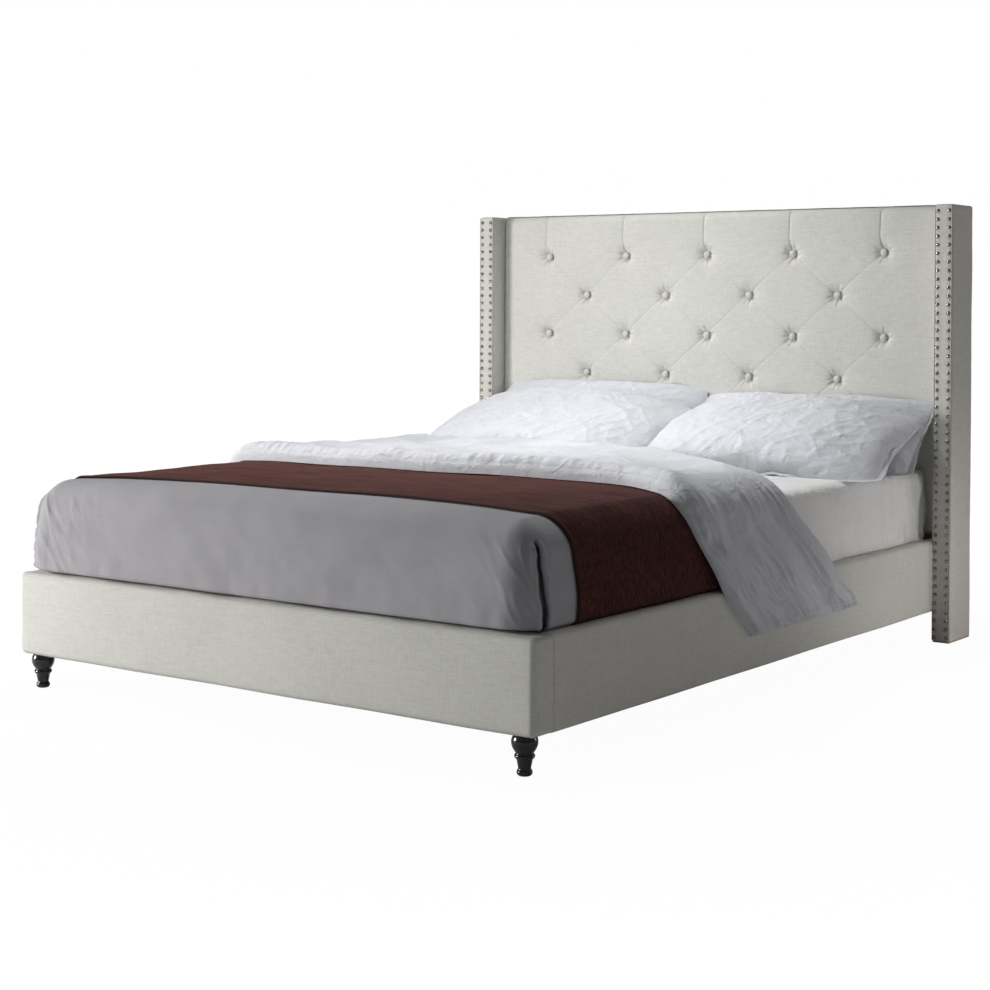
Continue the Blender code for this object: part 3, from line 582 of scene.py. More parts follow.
def make_nails(side, sign, inner, front, top):
    """Two columns of domed nailheads down a wing's front face."""
    radius, rise = 0.0061, 0.0050
    dome = [(0.0001, rise)]
    for step in range(1, 8):
        turn = math.pi / 2 * step / 7
        dome.append((radius * math.sin(turn), rise * math.cos(turn)))
    dome.append((0.0056, -0.0012))
    rng = np.random.default_rng(7)
    for column, offset in (("inner", 0.0112), ("outer", 0.0458)):
        parts = []
        for height in np.arange(0.016, top - 0.008, 0.0252):
            wobble = rng.normal(0, 0.00035, 2)
            centre = (inner + sign * offset + wobble[0], front - 0.0008, height + wobble[1])
            parts.append(lathe(dome, 14, centre, "-y"))
        gathered(f"{side}_wing_nails_{column}", parts, PEWTER)


def make_wing_cords(side, low, high):
    """Twisted cord along both front edges of a wing."""
    around, pitch = 8, 0.0046
    z = np.arange(low.z + 0.004, high.z - 0.002, 0.0011)[:, None]
    turn = np.linspace(0, 2 * math.pi, around, endpoint=False)[None]
    radius = 0.0022 * (1 + 0.20 * np.sin(z * 2 * math.pi / pitch + turn * 2))
    last = (len(z) - 1) * around
    faces = [list(face) for face in grid_faces(len(z), around, wrap=True)]
    faces += [list(range(around - 1, -1, -1)), list(range(last, last + around))]
    parts = []
    for x in (low.x + 0.0032, high.x - 0.0032):
        points = np.stack([x + radius * np.cos(turn), low.y + 0.0012 + radius * np.sin(turn),
                           np.repeat(z, around, axis=1)], axis=-1)
        parts.append((points.reshape(-1, 3), faces))
    gathered(f"{side}_wing_edge_cord", parts, PIPING)


def make_headboard_rest():
    low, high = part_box("headboard_lower_cover")

    def slack(x, y, z, normal):
        return 0.0008 * noise(x * 7, z * 9, 41) * (normal[:, 1] < -0.5)

    soft_box("lower_headboard_cloth", low, high, 0.0012, 0.02, LINEN, shape=slack,
             replaces=["headboard_lower_cover"])

    low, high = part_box("headboard_back_panel")

    def lining(x, y, z, normal):
        rim = np.minimum(np.minimum(x - low.x, high.x - x), np.minimum(z - low.z, high.z - z))
        inside = smooth(0.006, 0.05, rim)
        staple = 0.0011 * np.sin(2 * math.pi * (x + z) / 0.05) * (1 - smooth(0.0, 0.06, rim))
        sag = 0.0012 * noise(x * 4, z * 5, 42) * inside
        return (sag + staple) * (normal[:, 1] > 0.5)

    soft_box("back_lining", low, (high.x, high.y - 0.0005, high.z), 0.001, 0.010, LINING,
             shape=lining, replaces=["headboard_back_panel"])
    make_staples(low, high)

    def folded(x, y, z, normal):
        return 0.0005 * noise(x * 9, y * 30 + z * 30, 43) + 0.0003 * noise(x * 50, y * 50, 44)

    cloth = soft_box("headboard_top_cloth", (low.x, PAD_LOW.y + 0.022, high.z - 0.012),
                     (high.x, high.y + 0.0013, high.z + 0.0022), 0.004, 0.010, LINEN,
                     open_sides=("-y", "-z"), shape=folded, shell=0.0010)


def make_staples(low, high):
    """Flat wire staples round the edge of the back lining."""
    inset, half, thick = 0.014, 0.005, 0.0007
    places = []
    for x in np.arange(low.x + 0.03, high.x - 0.02, 0.05):
        places += [(x, high.z - inset, True), (x, low.z + inset, True)]
    for z in np.arange(low.z + 0.04, high.z - 0.03, 0.05):
        places += [(low.x + inset, z, False), (high.x - inset, z, False)]
    parts = []
    faces = [[0, 1, 2, 3], [7, 6, 5, 4], [0, 4, 5, 1], [1, 5, 6, 2], [2, 6, 7, 3], [3, 7, 4, 0]]
    for x, z, level in places:
        dx, dz = (half, thick) if level else (thick, half)
        corners = [(x + sx * dx, y, z + sz * dz) for y in (high.y - 0.0002, high.y + 0.0009)
                   for sx, sz in ((-1, -1), (1, -1), (1, 1), (-1, 1))]
        parts.append((np.array(corners), faces))
    gathered("lining_staples", parts, ZINC, smooth_shade=False)


# ---------------- rails and feet

def make_foot_rail():
    low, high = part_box("foot_rail_cover")
    ledge, end_seam = low.y + 0.024, low.y + 0.0115

    def shape(x, y, z, normal):
        u = (x - low.x) / (high.x - low.x) * 2 - 1
        v = (z - low.z) / (high.z - low.z) * 2 - 1
        front = facing(-normal[:, 1])
        top = facing(normal[:, 2])
        push = front * 0.0035 * (1 - u ** 8) * (1 - v ** 4)
        push += 0.0010 * noise(x * 4, z * 6 + y * 8, 51)
        push += top * (0.0022 * noise(x * 7, y * 20, 52) - 0.001)
        push += top * groove(y - ledge, 0.0016, 0.0018)
        ends = facing(np.abs(normal[:, 0]))
        push += ends * (groove(y - end_seam, 0.0030, 0.0016)
                        + 0.0016 * np.exp(-((y - low.y - 0.006) / 0.004) ** 2))
        push += ends * 0.0012 * noise(z * 26, y * 40, 53) * (y < low.y + 0.014)
        return push

    soft_box("foot_rail_upholstery", low, high, 0.011, 0.009, LINEN, open_sides=("+y",),
             seams={"y": (ledge, end_seam)}, shape=shape, replaces=["foot_rail_cover"],
             shell=0.004)


def make_side_rails():
    for side, sign in (("left", -1), ("right", 1)):
        low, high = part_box(f"{side}_rail_cover")

        def shape(x, y, z, normal):
            v = (z - low.z) / (high.z - low.z) * 2 - 1
            face = facing(normal[:, 0] * sign)
            top = facing(normal[:, 2])
            push = face * 0.0016 * (1 - v ** 4)
            push += 0.0009 * noise(y * 4, z * 6, 61 + sign)
            push += top * 0.0014 * noise(y * 6, x * 20, 63)
            return push

        open_side = "-x" if sign > 0 else "+x"
        soft_box(f"{side}_rail_upholstery", low, high, 0.008, 0.010, LINEN,
                 open_sides=(open_side,), shape=shape, replaces=[f"{side}_rail_cover"],
                 shell=0.004)


# bulb, collar, tapered neck and base bead: shares of the foot's radius and height, from the top
FOOT_OUTLINE = (
    (0.0, 1.0), (0.72, 1.0), (0.76, 0.985), (0.90, 0.92), (0.985, 0.85), (1.0, 0.79),
    (0.975, 0.72), (0.90, 0.65), (0.79, 0.59), (0.68, 0.545), (0.665, 0.525), (0.71, 0.505),
    (0.765, 0.48), (0.775, 0.455), (0.74, 0.425), (0.63, 0.395), (0.585, 0.36), (0.53, 0.27),
    (0.48, 0.19), (0.475, 0.165), (0.52, 0.14), (0.585, 0.11), (0.60, 0.08), (0.575, 0.045),
    (0.52, 0.02), (0.44, 0.0), (0.0, 0.0))


def make_feet():
    for side in ("left", "right"):
        low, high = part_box(f"{side}_turned_foot")
        radius, height = (high.x - low.x) / 2, high.z - low.z
        fine = []
        for (r0, h0), (r1, h1) in zip(FOOT_OUTLINE, FOOT_OUTLINE[1:]):
            fine += [(r0 + (r1 - r0) * t, h0 + (h1 - h0) * t) for t in (0.0, 1 / 3, 2 / 3)]
        fine.append(FOOT_OUTLINE[-1])
        radii = np.array([max(r, 0.002) for r, _ in fine]) * radius
        heights = np.array([h for _, h in fine]) * height
        for _ in range(2):
            radii[4:-4] = (radii[3:-5] + 2 * radii[4:-4] + radii[5:-3]) / 4
        centre = ((low.x + high.x) / 2, (low.y + high.y) / 2, low.z)
        points, faces = lathe(np.stack([radii, heights], axis=-1), 56, centre)
        piece(f"{side}_foot_turning", points, faces, BLACK_LACQUER, [f"{side}_turned_foot"])


# ---------------- mattress and bedding

MATTRESS_LOW, MATTRESS_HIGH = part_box("mattress")
COVERLET_LOW, COVERLET_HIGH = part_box("foot_coverlet")
RUNNER_LOW, RUNNER_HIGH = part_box("bed_runner")
DUVET_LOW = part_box("duvet")[0]
RAIL_OUTER, FOOT_RAIL_INNER, RAIL_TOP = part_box("foot_rail_cover")[1]
BED_HALF = COVERLET_HIGH.x
BED_FOOT = FOOT_RAIL_INNER - 0.050
BED_TOP = COVERLET_HIGH.z - 0.006
BED_CROWN = 0.015
BED_ROUND = 0.075
BELLY = 0.006
TUCK_TOP = RAIL_TOP + 0.016
TUCK_END = RAIL_TOP + 0.0045
FLAT_HALF = BED_HALF - BED_ROUND
DROP_START = FLAT_HALF + BED_ROUND * math.pi / 2


def crown(x, y):
    """Height of the made bed's middle above its edges."""
    share = np.clip(np.abs(x) / BED_HALF, 0, 1)
    return BED_CROWN * (1 - share ** 3) + 0.003 * noise(x * 3, y * 3, 71)


def belly(z):
    """Outward swell of the drops above the rails."""
    return BELLY * np.exp(-((z - RAIL_TOP - 0.07) / 0.06) ** 2)


def tuck(z):
    """Share of the way in that a tucked drop has gone at a height."""
    return smooth(TUCK_TOP, TUCK_END, z)


def over_bed(s, y, lift, tucked=False):
    """Points over the made bed: s is measured across it over the rounded edges, lift is outward."""
    size = np.abs(s)
    turn = np.clip((size - FLAT_HALF) / BED_ROUND, 0, math.pi / 2)
    below = np.maximum(0, size - DROP_START)
    x = np.minimum(size, FLAT_HALF) + BED_ROUND * np.sin(turn)
    z = BED_TOP - BED_ROUND * (1 - np.cos(turn)) - below
    x = x + lift * np.sin(turn) + belly(z) * np.sin(turn)
    if tucked:
        x = x - tuck(z) * (BED_HALF - MATTRESS_HIGH.x - 0.0075 + belly(z))
    z = z + lift * np.cos(turn) + crown(x, y) * (below <= 0) * np.cos(turn) ** 0.5
    return np.stack([x * np.sign(s), y, z], axis=-1)


def make_mattress():
    """Mattress with taped edges, and the white fitted sheet over its head end."""
    low, high = MATTRESS_LOW, MATTRESS_HIGH
    skin = 0.003

    def quilted(x, y, z, normal):
        upright = np.abs(normal[:, 2]) < 0.6
        push = upright * 0.003 * np.abs(np.sin(x * 26 + y * 26)) - 0.002
        taped = np.abs(z - (low.z + high.z) / 2) - 0.12
        push += 0.003 * np.exp(-(taped / 0.012 * 1.4) ** 2)
        return push

    mattress = soft_box("mattress_body", (low.x + skin, low.y + skin, low.z),
                        (high.x - skin, high.y - skin, high.z - 0.004), 0.085, 0.02, TICKING,
                        bends=12, shape=quilted, replaces=["mattress"])

    def pulled(x, y, z, normal):
        upright = smooth(0.3, 0.9, np.abs(normal[:, 0]))
        near_head = smooth(0.55, 0.98, y)
        broad = folds(y * 11 - z * 2, z * 3 + y * 2, 83, 3.0) - 0.2
        slit = (y - 0.86 - 0.05 * (z - 0.4)) / 0.009
        push = 0.0045 * noise(y * 14 + z * 4, z * 3, 81) * (0.25 + near_head)
        push += 0.0065 * broad * (0.6 + near_head)
        push += 0.0030 * (folds(y * 24 + z * 9, z * 8 - y * 4, 85, 3.0) - 0.2)
        push -= 0.006 * near_head * np.exp(-slit ** 2)
        push += 0.006 * noise(y * 11, z * 16, 84) * np.exp(-(z - RAIL_TOP) / 0.03)
        push = upright * push + 0.0014 * noise(x * 8 + z * 8, y * 8, 82)
        lifted = np.stack([x, y, z], axis=-1) + normal * push[:, None]
        lifted[:, 2] += 0.006 * (1 - (x / high.x) ** 2) * (normal[:, 2] > 0.2)
        return lifted

    sheet = soft_box("fitted_sheet", (low.x - skin, -0.30, low.z + 0.035),
                     (high.x + skin, high.y + skin, high.z + 0.0018), 0.032, 0.008, SHEET_COTTON,
                     open_sides=("-y", "-z"), shape=pulled, shell=0.0012)


def make_coverlet():
    """Grey coverlet: crowned top, bulging foot face, tucked inside the rails, folded corners."""
    low = (-BED_HALF, BED_FOOT, COVERLET_LOW.z + 0.004)
    high = (BED_HALF, COVERLET_HIGH.y, BED_TOP)
    side_tuck = BED_HALF - MATTRESS_HIGH.x - 0.0066
    foot_tuck = FOOT_RAIL_INNER + 0.0055 - BED_FOOT

    def shape(x, y, z, normal):
        upright = 1 - smooth(0.35, 0.8, normal[:, 2])
        side = np.abs(normal[:, 0])
        foot = np.clip(-normal[:, 1], 0, 1)
        calm = smooth(RUNNER_LOW.y + 0.02, RUNNER_LOW.y - 0.03, y)
        left = np.exp(-((x + 0.72) / 0.16) ** 2)
        drag = x * 15 + (z - 0.3) * (14 + 20 * left)
        push = upright * foot * (0.0008 + 0.0007 * left) * noise(drag, z * 3.0, 91)
        push += upright * 0.0022 * noise(x * 3 + y * 3, z * 5, 92) * calm
        creased = folds(x * 26 + z * 20, z * 5 - x * 3, 93, 3.0) - 0.2
        push += upright * left * foot ** 2 * 0.0042 * creased
        corner = np.exp(-((x - 0.74) / 0.10) ** 2) * calm * upright
        push += corner * 0.0016 * (folds(x * 24 + y * 20 + z * 12, z * 11, 95) - 0.4)
        hemline = upright * calm * np.exp(-(z - RAIL_TOP) / 0.04)
        push += hemline * 0.0028 * noise(x * 24 + y * 24, z * 8, 96)
        push += 0.0012 * noise(x * 9, y * 9 + z * 9, 94) * calm
        # folded corners: a slit between two soft lips
        turn = np.degrees(np.arctan2(side, np.maximum(foot, 1e-6)))
        here = upright * smooth(0.497, 0.472, z) * calm
        lean = np.where(x > 0, 61.0, 50.0) + (0.47 - z) * 70 + 4 * noise(z * 22, 0 * z, 97)
        arc = np.radians(turn - lean) * BED_ROUND
        gap = 0.0058 + 0.0034 * smooth(0.49, 0.34, z)
        lips = np.exp(-((np.abs(arc) - gap - 0.006) / 0.006) ** 2)
        push += here * 0.0045 * lips
        sink = here * 0.050 * np.exp(-(arc / gap) ** 6)
        push += here * lips * 0.0050 * noise(z * 62 + np.sign(arc) * 9, arc * 60, 98)
        push += upright * side * (belly(z) + (x < 0) * 0.010 * calm)
        push += upright * foot * 0.013 * smooth(0.50, 0.335, z)
        moved = np.stack([x, y, z], axis=-1) + normal * push[:, None]
        moved[:, 0] -= 0.55 * np.sign(x) * sink
        moved[:, 1] += 0.83 * sink
        inward = tuck(z)
        moved[:, 0] -= np.sign(x) * inward * side * (side_tuck + push)
        moved[:, 1] += inward * foot * (foot_tuck + push)
        moved[:, 2] += crown(x, y) * smooth(0.05, 0.6, normal[:, 2])
        return moved

    coverlet = soft_box("coverlet", low, high, BED_ROUND, 0.0065, GREY_COTTON,
                        open_sides=("+y", "-z"), seams={"z": ((TUCK_TOP + TUCK_END) / 2,)},
                        reach=0.012, bends=48, shape=shape, replaces=["foot_coverlet"],
                        shell=0.003)


def make_runner():
    """Ribbed throw across the bed, with a dark binding along its foot-side edge."""
    reach = DROP_START + (BED_TOP - BED_ROUND - RAIL_TOP - 0.001)
    binding = 0.016
    pitch, thick = 0.0072, 0.0016
    start, end = RUNNER_LOW.y + 0.006, RUNNER_HIGH.y + 0.02

    def cloth(s, along, extra):
        bend = 0.030 * np.exp(-((s / reach - 0.45) / 0.5) ** 2) - 0.012 * (s / reach)
        bend -= 0.030 * smooth(-0.35, -0.75, s)
        side = smooth(FLAT_HALF * 0.9, reach, np.abs(s))
        from_start = along - start
        y = along + bend * np.exp(-from_start / 0.2) + 0.055 * side * np.exp(-from_start / 0.3)
        lift = 0.0045 + extra + 0.0015 * noise(s * 4, along * 5, 101)
        return over_bed(s, y, lift, tucked=True).reshape(-1, 3)

    s_lines = np.linspace(-reach, reach, 260)
    along_lines = np.arange(start + binding * 0.8, end, pitch / 6)
    s, along = np.meshgrid(s_lines, along_lines, indexing="ij")
    rib = np.abs(np.sin(math.pi * (along - start) / pitch + 0.5 * noise(s * 6, along * 30, 102)))
    worn = 0.75 + 0.25 * noise(s * 10, along * 12, 103)
    points = cloth(s, along, 0.0032 * rib ** 0.6 * worn)
    runner = piece("runner", points, grid_faces(*s.shape, flip=True), RUNNER_CLOTH,
                   ["bed_runner"])
    solidify(runner, thick, 1.0)

    s, share = np.meshgrid(s_lines, np.linspace(0, 1, 13), indexing="ij")
    hump = 0.0042 * np.sin(math.pi * np.clip(share, 0.02, 0.98)) ** 0.5
    hump += 0.0004 * noise(s * 60, share * 3, 104)
    points = cloth(s, start + share * binding, hump)
    trim = piece("runner_binding", points, grid_faces(*s.shape, flip=True), RUNNER_BINDING, ())
    solidify(trim, thick, 1.0)


# the duvet's two cross edges: the way across the bed from its middle, and Y
DUVET_FOOT_EDGE = (
    (-1.17, -0.30), (-0.95, -0.33), (-0.78, -0.37), (-0.55, -0.405), (-0.3, -0.430),
    (0.0, -0.425), (0.3, -0.395), (0.47, -0.380), (0.6, -0.395), (0.70, -0.450), (0.75, -0.480),
    (0.79, -0.470), (0.85, -0.425), (0.93, -0.365), (0.985, -0.320), (1.05, -0.240),
    (1.10, -0.180), (1.17, -0.13))
DUVET_HEAD_EDGE = (
    (-1.17, 0.47), (-0.95, 0.455), (-0.6, 0.450), (-0.2, 0.445), (0.0, 0.425), (0.15, 0.36),
    (0.45, 0.20), (0.66, 0.04), (0.76, 0.02), (0.82, 0.07), (0.90, 0.180), (1.0, 0.300),
    (1.05, 0.370), (1.10, 0.44), (1.17, 0.48))


def duvet_edges(s):
    """Y of the duvet's foot-side and head-side edges at s across the bed, without corners."""
    edges = []
    for knots in (DUVET_FOOT_EDGE, DUVET_HEAD_EDGE):
        places, values = np.array(knots).T
        dense = np.linspace(places[0], places[-1], 240)
        line = np.interp(dense, places, values)
        kernel = np.hanning(17) / np.hanning(17).sum()
        line = np.convolve(np.pad(line, 8, mode="edge"), kernel, mode="valid")
        edges.append(np.interp(s, dense, line))
    return edges


def make_duvet():
    """Quilt of one closed skin: puffed body, pinched edges, long folds down the right drop."""
    hem_right = DROP_START + BED_TOP - BED_ROUND - DUVET_LOW.z + 0.012
    hem_left = 0.020 - hem_right
    s_lines = np.concatenate([
        np.linspace(hem_left, hem_left + 0.03, 9)[:-1],
        np.linspace(hem_left + 0.03, hem_right - 0.05, 400),
        np.linspace(hem_right - 0.05, hem_right, 24)[1:]])
    even = np.linspace(0, 1, 240)
    b_lines = 0.65 * even + 0.35 * (0.5 - 0.5 * np.cos(even * math.pi))
    s, b = np.meshgrid(s_lines, b_lines, indexing="ij")
    foot, head = duvet_edges(s)
    hem_wave = 0.010 * noise(s * 9, 0 * s, 121) * smooth(0.6, 0.9, s)
    foot, head = foot + hem_wave, head + hem_wave[::-1]
    y = foot + (head - foot) * b
    width = head - foot
    from_foot, from_head = b * width, (1 - b) * width
    from_hem = np.minimum(s - hem_left, hem_right - s)
    rim = np.minimum(np.minimum(from_foot, from_head), from_hem)
    drop = smooth(FLAT_HALF, DROP_START + 0.05, np.abs(s))
    top = 1 - drop

    full = 0.040 * (1 - 0.45 * drop)
    puff = full * np.sqrt(np.clip(1 - (1 - np.clip(rim / 0.034, 0, 1)) ** 2, 0, 1))
    puff += 0.009 * np.exp(-((from_foot - 0.045) / 0.035) ** 2) * (0.4 + 0.6 * top)
    waves = 0.009 * noise(s * 2.6, y * 3.2, 111) + 0.006 * noise(s * 6, y * 6, 112)
    waves += 0.0040 * (folds(s * 4 + y, y * 2.5 - s, 122) - 0.4)
    run = b * 9 + 0.8 * noise(s * 2, b * 3, 113)
    long_folds = 0.014 * noise(run * 0.9, s * 1.3, 114) + 0.004 * noise(run * 2.1, s * 4.0, 115)
    long_folds += 0.007 * (folds(run * 0.8 + s * 3, s * 2.6, 123) - 0.4)
    long_folds += 0.0045 * (folds(run * 1.6 - s * 3, s * 4, 126, 2.0) - 0.3)
    small = 0.0010 * noise(run * 4.0, s * 14, 116) + 0.0014 * noise(s * 24, y * 24, 124)
    gathers = 0.0050 * noise(s * 52, from_foot * 9, 117) * np.exp(-from_foot / 0.04)
    gathers *= 1 + smooth(-0.25, -0.7, s)
    gathers += 0.0055 * noise(s * 17 + y * 10, y * 8, 118) * np.exp(-from_foot / 0.14)
    gathers += 0.0025 * noise(run * 6, from_head * 20, 125) * np.exp(-from_head / 0.03)
    ruffle = 0.0030 * noise(b * 60, s * 16, 119) * np.exp(-from_hem / 0.030)
    stitch = groove(from_hem - 0.027, 0.0050, 0.0030) + groove(rim - 0.009, 0.0020, 0.0022)
    body = waves * (0.3 + 0.7 * top) + drop * long_folds + small * (0.5 + drop)
    body = (body + gathers) * smooth(0.0, 0.022, rim) + ruffle
    body += stitch * smooth(0, 0.004, rim)

    base = 0.0105 + 0.010 * smooth(BED_HALF, hem_right, np.abs(s))
    clear_rail = np.maximum(0, RAIL_OUTER + 0.004 - (BED_HALF + base))
    rail_reached = DROP_START + BED_TOP - BED_ROUND - RAIL_TOP - 0.03
    base = base + smooth(DROP_START - 0.02, rail_reached, np.abs(s)) * clear_rail
    base = base - 0.012 * smooth(RUNNER_HIGH.y, RUNNER_HIGH.y + 0.3, y) * top

    upper = over_bed(s, y, base + np.maximum(puff + body, 0.0012))
    lower = over_bed(s, y, base + 0.0001)
    duvet = sewn_skins("duvet_cover", upper, lower)
    dress(duvet, ["duvet"])


PILLOW_FRAMES = 16
PILLOW_CLOTH = {"quality": 5, "mass": 0.25, "tension_stiffness": 22, "compression_stiffness": 16,
                "shear_stiffness": 8, "bending_stiffness": 0.5, "use_pressure": True,
                "uniform_pressure_force": 1.5, "shrink_min": -0.014}


def pillow_skins(width, length, thick, seed):
    """Two cotton skins sewn at the rim and blown up by a cloth simulation."""
    columns, rows = 76, 48
    u, v = np.meshgrid(np.linspace(-1, 1, columns), np.linspace(-1, 1, rows), indexing="ij")
    round_corner = 1 - 0.035 * (u * v) ** 6
    x, y = u * width / 2 * round_corner, v * length / 2 * round_corner
    rise = (1 - u ** 4) * (1 - v ** 4)
    crumple = 0.002 * noise(u * 6 + seed, v * 5, seed) * rise
    upper = np.stack([x, y, 0.020 * rise + crumple + 0.0005], axis=-1)
    lower = np.stack([x, y, -0.020 * rise - 0.0005], axis=-1)
    obj = sewn_skins(f"pillow_sim_{seed}", upper, lower)
    join_doubles(obj, 0.0012)
    cloth = obj.modifiers.new("Cloth", "CLOTH")
    for key, value in PILLOW_CLOTH.items():
        setattr(cloth.settings, key, value)
    cloth.settings.effector_weights.gravity = 0
    cloth.collision_settings.use_collision = False
    cloth.point_cache.frame_end = PILLOW_FRAMES
    for step in range(1, PILLOW_FRAMES + 1):
        bpy.context.scene.frame_set(step)
        bpy.context.view_layer.update()
    done = obj.evaluated_get(bpy.context.evaluated_depsgraph_get())
    mesh = bpy.data.meshes.new_from_object(done)
    bpy.data.objects.remove(obj)
    bpy.context.scene.frame_set(1)
    points = mesh_points(mesh)
    points[:, 2] *= thick / np.ptp(points[:, 2])
    mesh.vertices.foreach_set("co", points.ravel())
    return mesh


def mesh_points(mesh):
    return np.array([vertex.co[:] for vertex in mesh.vertices])


def pillow_hem(mesh, seed, wide=0.016):
    """Flat hem sewn round the rim of a pillow, added to its mesh."""
    points = mesh_points(mesh)
    turn = np.linspace(0, 2 * math.pi, 361)[:-1]
    half = points.max(0)
    angle = np.arctan2(points[:, 1] / half[1], points[:, 0] / half[0])
    reach = np.maximum(np.abs(points[:, 0] / half[0]), np.abs(points[:, 1] / half[1]))
    rim = []
    for value in turn:
        gap = np.abs((angle - value + math.pi) % (2 * math.pi) - math.pi)
        near = np.where(gap < 0.02)[0]
        rim.append(points[near[np.argmax(reach[near])]])
    rim = np.array(rim)
    kernel = np.ones(11) / 11
    rim = np.stack([np.convolve(np.pad(rim[:, i], 5, mode="wrap"), kernel, mode="valid")
                    for i in range(3)], axis=-1)
    along = np.roll(rim, -5, axis=0) - np.roll(rim, 5, axis=0)
    out = np.stack([along[:, 1], -along[:, 0]], axis=-1)
    out /= np.linalg.norm(out, axis=1, keepdims=True)
    shares = np.array([0.0, 0.0, 0.12, 0.3, 0.55, 0.8, 0.95, 1.0])
    spread = wide * (0.25 + 0.75 * smooth(0.3, -0.5, rim[:, 1] / half[1]))
    offset = shares[None, :] * spread[:, None]
    offset[:, 0] = -0.011
    wave = 0.0016 * noise(turn * 9, 0 * turn, seed) + 0.0012 * noise(turn * 26, 0 * turn, seed + 1)
    thick = 0.0011 + 0.0007 * np.exp(-((shares - 0.90) / 0.09) ** 2)
    layers = []
    for way in (1, -1):
        ring = np.repeat(rim[:, None], len(shares), axis=1)
        ring[..., :2] += out[:, None] * offset[..., None]
        ring[..., 2] += wave[:, None] * np.clip(shares, 0, 1)[None] + way * thick[None]
        layers.append(ring)
    around = len(turn)
    closed = np.concatenate([layers[0], layers[1][:, ::-1]], axis=1)
    columns = closed.shape[1]
    row, column = np.meshgrid(np.arange(around), np.arange(columns), indexing="ij")
    following, beside = (row + 1) % around, (column + 1) % columns
    quads = np.stack([row * columns + column, following * columns + column,
                      following * columns + beside, row * columns + beside], axis=-1)
    with edited(mesh) as bm:
        made = [bm.verts.new(point) for point in closed.reshape(-1, 3)]
        faces = [bm.faces.new([made[index] for index in quad]) for quad in quads.reshape(-1, 4)]
        bmesh.ops.recalc_face_normals(bm, faces=faces)


def sewn_skins(name, upper, lower):
    """White cotton body closed by a strip round the rims of its two skins."""
    rows, columns = upper.shape[:2]
    count = rows * columns
    faces = [list(face) for face in grid_faces(rows, columns)]
    faces += [list(face) for face in grid_faces(rows, columns, start=count, flip=True)]
    rim = rim_of(rows, columns)
    for here, there in zip(rim, rim[1:] + rim[:1]):
        faces.append([here, there, there + count, here + count])
    points = np.vstack([skin.reshape(-1, 3) for skin in (upper, lower)])
    obj = plain_mesh(name, points, faces, WHITE_COTTON)
    face_outward(obj)
    return obj


def lay_pillow(name, mesh, tilt, yaw, middle, seed, replaces):
    """Crease a blown-up pillow, tilt and place it, and press it flat against bed and headboard."""
    floor, wall = MATTRESS_HIGH.z + 0.0045, PAD_LOW.y - 0.001
    obj = bpy.data.objects.new(name, mesh)
    bpy.context.scene.collection.objects.link(obj)
    mesh.shade_smooth()
    subdivide(obj)
    mesh = obj.data
    points = mesh_points(mesh)
    normal = np.array([vertex.normal[:] for vertex in mesh.vertices])
    x, y, z = points.T
    half = points.max(0)
    inside = smooth(1.0, 0.75, np.abs(x) / half[0]) * smooth(1.0, 0.7, np.abs(y) / half[1])
    side = np.sign(z) * 3
    push = 0
    for turn, size, seed_step in ((0.5, 0.0036, 0), (-0.7, 0.0030, 1), (1.2, 0.0022, 4)):
        along = x * math.cos(turn) + y * math.sin(turn)
        across = y * math.cos(turn) - x * math.sin(turn)
        across = across + 0.02 * noise(x * 8, y * 8 + side, seed + seed_step + 5)
        crease = folds(along * 3.5 + side, across * 15 + side, seed + seed_step, 3.0)
        push = push + inside * size * (crease - 0.15)
    push += inside * 0.0007 * noise(x * 60, y * 60 + side, seed + 2)
    points = points + normal * push[:, None]
    mesh.vertices.foreach_set("co", points.ravel())
    pillow_hem(mesh, seed + 3)
    mesh.shade_smooth()
    points = mesh_points(mesh)
    points[:, 2] -= 0.030 * np.abs(points[:, 0] / half[0]) ** 4
    turn = Matrix.Rotation(yaw, 3, "Z") @ Matrix.Rotation(tilt, 3, "X")
    points = points @ np.array(turn).T + np.array(middle)
    pressed = 0.94
    points[:, 2] += pressed * np.clip(floor - points[:, 2], 0, None)
    points[:, 1] -= pressed * np.clip(points[:, 1] - wall, 0, None)
    mesh.vertices.foreach_set("co", points.ravel())
    dress(obj, replaces)


def subdivide(obj):
    modifier = obj.modifiers.new("Subdivision", "SUBSURF")
    modifier.levels = modifier.render_levels = 1
    done = obj.evaluated_get(bpy.context.evaluated_depsgraph_get())
    obj.data = bpy.data.meshes.new_from_object(done)
    obj.modifiers.clear()


def make_pillows():
    front = {"left": (-0.370, 0.655, 0.592), "right": (0.418, 0.668, 0.594)}
    back = {"left": (-0.375, 0.858, 0.616), "right": (0.395, 0.858, 0.596)}
    widths = {"left": 0.90, "right": 0.78}
    for side, yaw, seed in (("left", -3, 200), ("right", 3, 220)):
        mesh = pillow_skins(widths[side], 0.49, 0.165, seed)
        lay_pillow(f"{side}_front_pillowcase", mesh, math.radians(22), math.radians(yaw),
                   front[side], seed + 10, [f"{side}_front_pillow"])
        mesh = pillow_skins(0.80, 0.39, 0.100, seed + 100)
        lay_pillow(f"{side}_back_pillowcase", mesh, math.radians(42), 0.0, back[side],
                   seed + 110, [f"{side}_back_pillow"])


# ---------------- carried-over nodes

